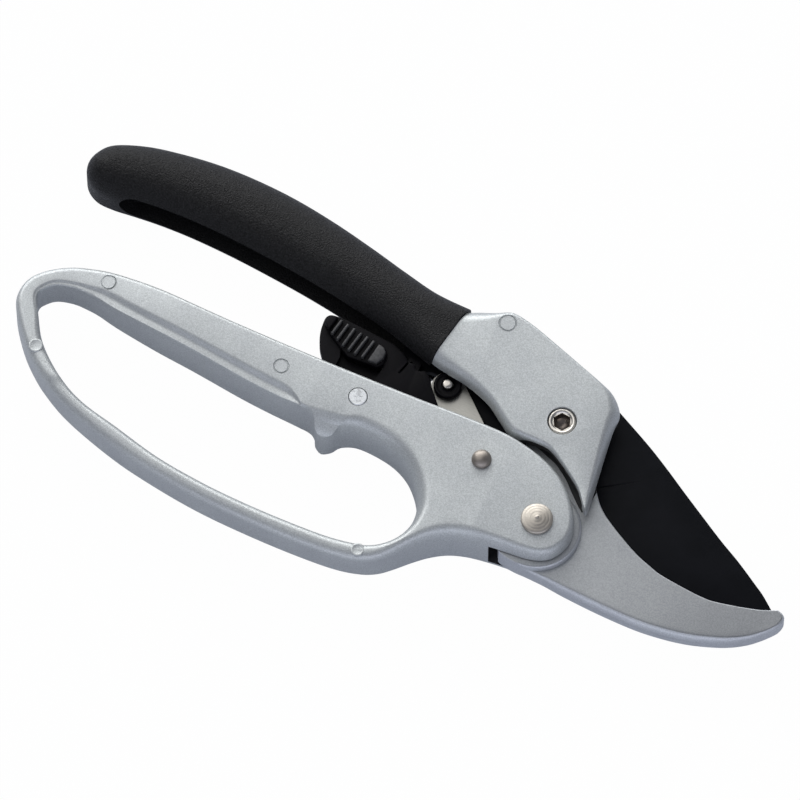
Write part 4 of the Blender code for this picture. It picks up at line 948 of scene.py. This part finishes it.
def studio():
    """Soft panels above, behind and low in front, an even room, the floor and the camera."""
    scene = bpy.context.scene
    scene.view_settings.view_transform = "Standard"
    world = bpy.data.worlds.new("studio_air")
    world.use_nodes = True
    world.node_tree.nodes["Background"].inputs["Color"].default_value = (0.84, 0.88, 1.0, 1.0)
    world.node_tree.nodes["Background"].inputs["Strength"].default_value = 0.22
    scene.world = world
    floor()
    panel("top_panel", CENTRE - RIGHT * 0.45 + AHEAD * 0.6 + Vector((0, 0, 1.05)), (1.7, 1.4), 8.8,
          (1.0, 0.995, 0.985))
    panel("back_panel", CENTRE - RIGHT * 0.2 + AHEAD * 1.4 + Vector((0, 0, 0.55)), (2.2, 1.0), 24.0,
          (1.0, 1.0, 1.0))
    panel("front_panel", CENTRE - AHEAD * 1.2 + Vector((0, 0, 0.38)), (2.6, 0.7), 8.0, COOL_WHITE)
    panel("sky_panel", CENTRE - AHEAD * 0.8 + Vector((0, 0, 0.95)), (2.4, 0.9), 1.2, COOL_WHITE)
    camera()


def panel(name, place, size, power, colour):
    """A soft rectangular lamp that looks at the shears and isn't seen itself."""
    light = bpy.data.lights.new(name, "AREA")
    light.shape = "RECTANGLE"
    light.size, light.size_y = size
    light.energy = power
    light.color = colour
    item = bpy.data.objects.new(name, light)
    item.location = place
    item.rotation_euler = (CENTRE - place).to_track_quat("-Z", "Y").to_euler()
    item.visible_camera = False
    bpy.context.scene.collection.objects.link(item)


def floor():
    """A pale floor that the camera sees as white, with the shears' soft shadow on it."""
    shape = bmesh.new()
    bmesh.ops.create_grid(shape, x_segments=1, y_segments=1, size=6000.0)
    for vertex in shape.verts:
        vertex.co.z = -0.15
    material = bpy.data.materials.new("pale_floor")
    material.use_nodes = True
    tree = material.node_tree
    shader = tree.nodes["Principled BSDF"]
    shader.inputs["Base Color"].default_value = (0.62, 0.64, 0.68, 1.0)
    shader.inputs["Roughness"].default_value = 0.9
    rays = tree.nodes.new("ShaderNodeLightPath")
    room = seen_as(tree, rays, shader.outputs["BSDF"], ("Is Glossy Ray",), (0.50, 0.53, 0.64, 1.0), 0.4)
    through = ("Is Camera Ray", "Is Transmission Ray")
    whole = seen_as(tree, rays, room, through, (1.0, 1.0, 1.0, 1.0), 0.985)
    tree.links.new(whole, tree.nodes["Material Output"].inputs["Surface"])
    settle(shape, "floor", material)


def seen_as(tree, rays, surface, ray_names, colour, share):
    """Mixes an even colour into a surface for some kinds of rays."""
    glow = tree.nodes.new("ShaderNodeEmission")
    glow.inputs["Color"].default_value = colour
    total = None
    for name in ray_names:
        scaled = tree.nodes.new("ShaderNodeMath")
        scaled.operation = "MULTIPLY_ADD"
        scaled.inputs[1].default_value = share
        scaled.inputs[2].default_value = 0.0
        tree.links.new(rays.outputs[name], scaled.inputs[0])
        if total:
            tree.links.new(total, scaled.inputs[2])
        total = scaled.outputs[0]
    mix = tree.nodes.new("ShaderNodeMixShader")
    tree.links.new(total, mix.inputs["Fac"])
    tree.links.new(surface, mix.inputs[1])
    tree.links.new(glow.outputs["Emission"], mix.inputs[2])
    return mix.outputs["Shader"]


def camera():
    """The photograph's direction, with a long lens from far away."""
    back = -AHEAD * math.cos(ELEVATION) + Vector((0, 0, math.sin(ELEVATION)))
    distance = 3.2
    data = bpy.data.cameras.new("camera")
    data.sensor_width = 36.0
    data.lens = data.sensor_width * distance / VIEW_WIDTH
    data.clip_start, data.clip_end = 0.1, 50.0
    item = bpy.data.objects.new("camera", data)
    up = back.cross(RIGHT)
    turn = Matrix((RIGHT, up, back)).transposed().to_4x4()
    turn.translation = CENTRE + back * distance
    item.matrix_world = turn
    bpy.context.scene.collection.objects.link(item)
    bpy.context.scene.camera = item


def dress():
    """Gives every node its detailed piece or its finish."""
    silver = cast_paint("satin_silver_paint", (0.57, 0.595, 0.595), (0.41, 0.43, 0.43))
    # The jaw's copy of the paint is darker, painted shade on the recessed jaw, and darkens further along
    # x towards the nose, painted shade again.
    jaw_silver = cast_paint("jaw_silver_paint", (0.47, 0.485, 0.49), (0.37, 0.385, 0.39), (12.0, 66.0))
    # The rim's copy of the paint is lighter and bluer, painted light for the faces that tilt from the
    # top.
    jaw_edge_light = cast_paint("jaw_edge_painted_light", (0.60, 0.625, 0.65), (0.47, 0.49, 0.51))
    vinyl, coat, nickel = dipped_vinyl(), coated_steel(), nickel_plate()
    zinc, wire, nylon = zinc_plate(), spring_wire(), moulded_nylon()
    # Near-black painted shade for the faces that the cutters leave inside the castings.
    inner_shade = painted_shade_casting()
    lower_handle(silver, inner_shade)
    upper_handle(silver, inner_shade)
    upper_grip(vinyl)
    hook(jaw_silver, jaw_edge_light, inner_shade)
    blade(coat)
    # The screw's nickel carries painted shade below the socket's rim.
    pivot_screw(nickel_plate("socket_shaded_nickel", shade_height=16.6))
    rivets(turned_nickel("dull_nickel", (0.52, 0.485, 0.43), (0.44, 0.405, 0.355)),
           turned_nickel("tarnished_nickel", (0.34, 0.31, 0.28), (0.27, 0.24, 0.21)))
    lock_pin(worn_pin())
    link_end(nickel, nylon)
    # The pad's grey nylon is painted highlight.
    lock_lever(nylon, highlit_nylon())
    dress_nodes(("pivot_nut", "pivot_sleeve", "tang_pin", "link_plate_front", "link_plate_back"), zinc)
    dress_nodes(("link_spring", "opening_spring", "lock_spring"), wire)


dress()
studio()
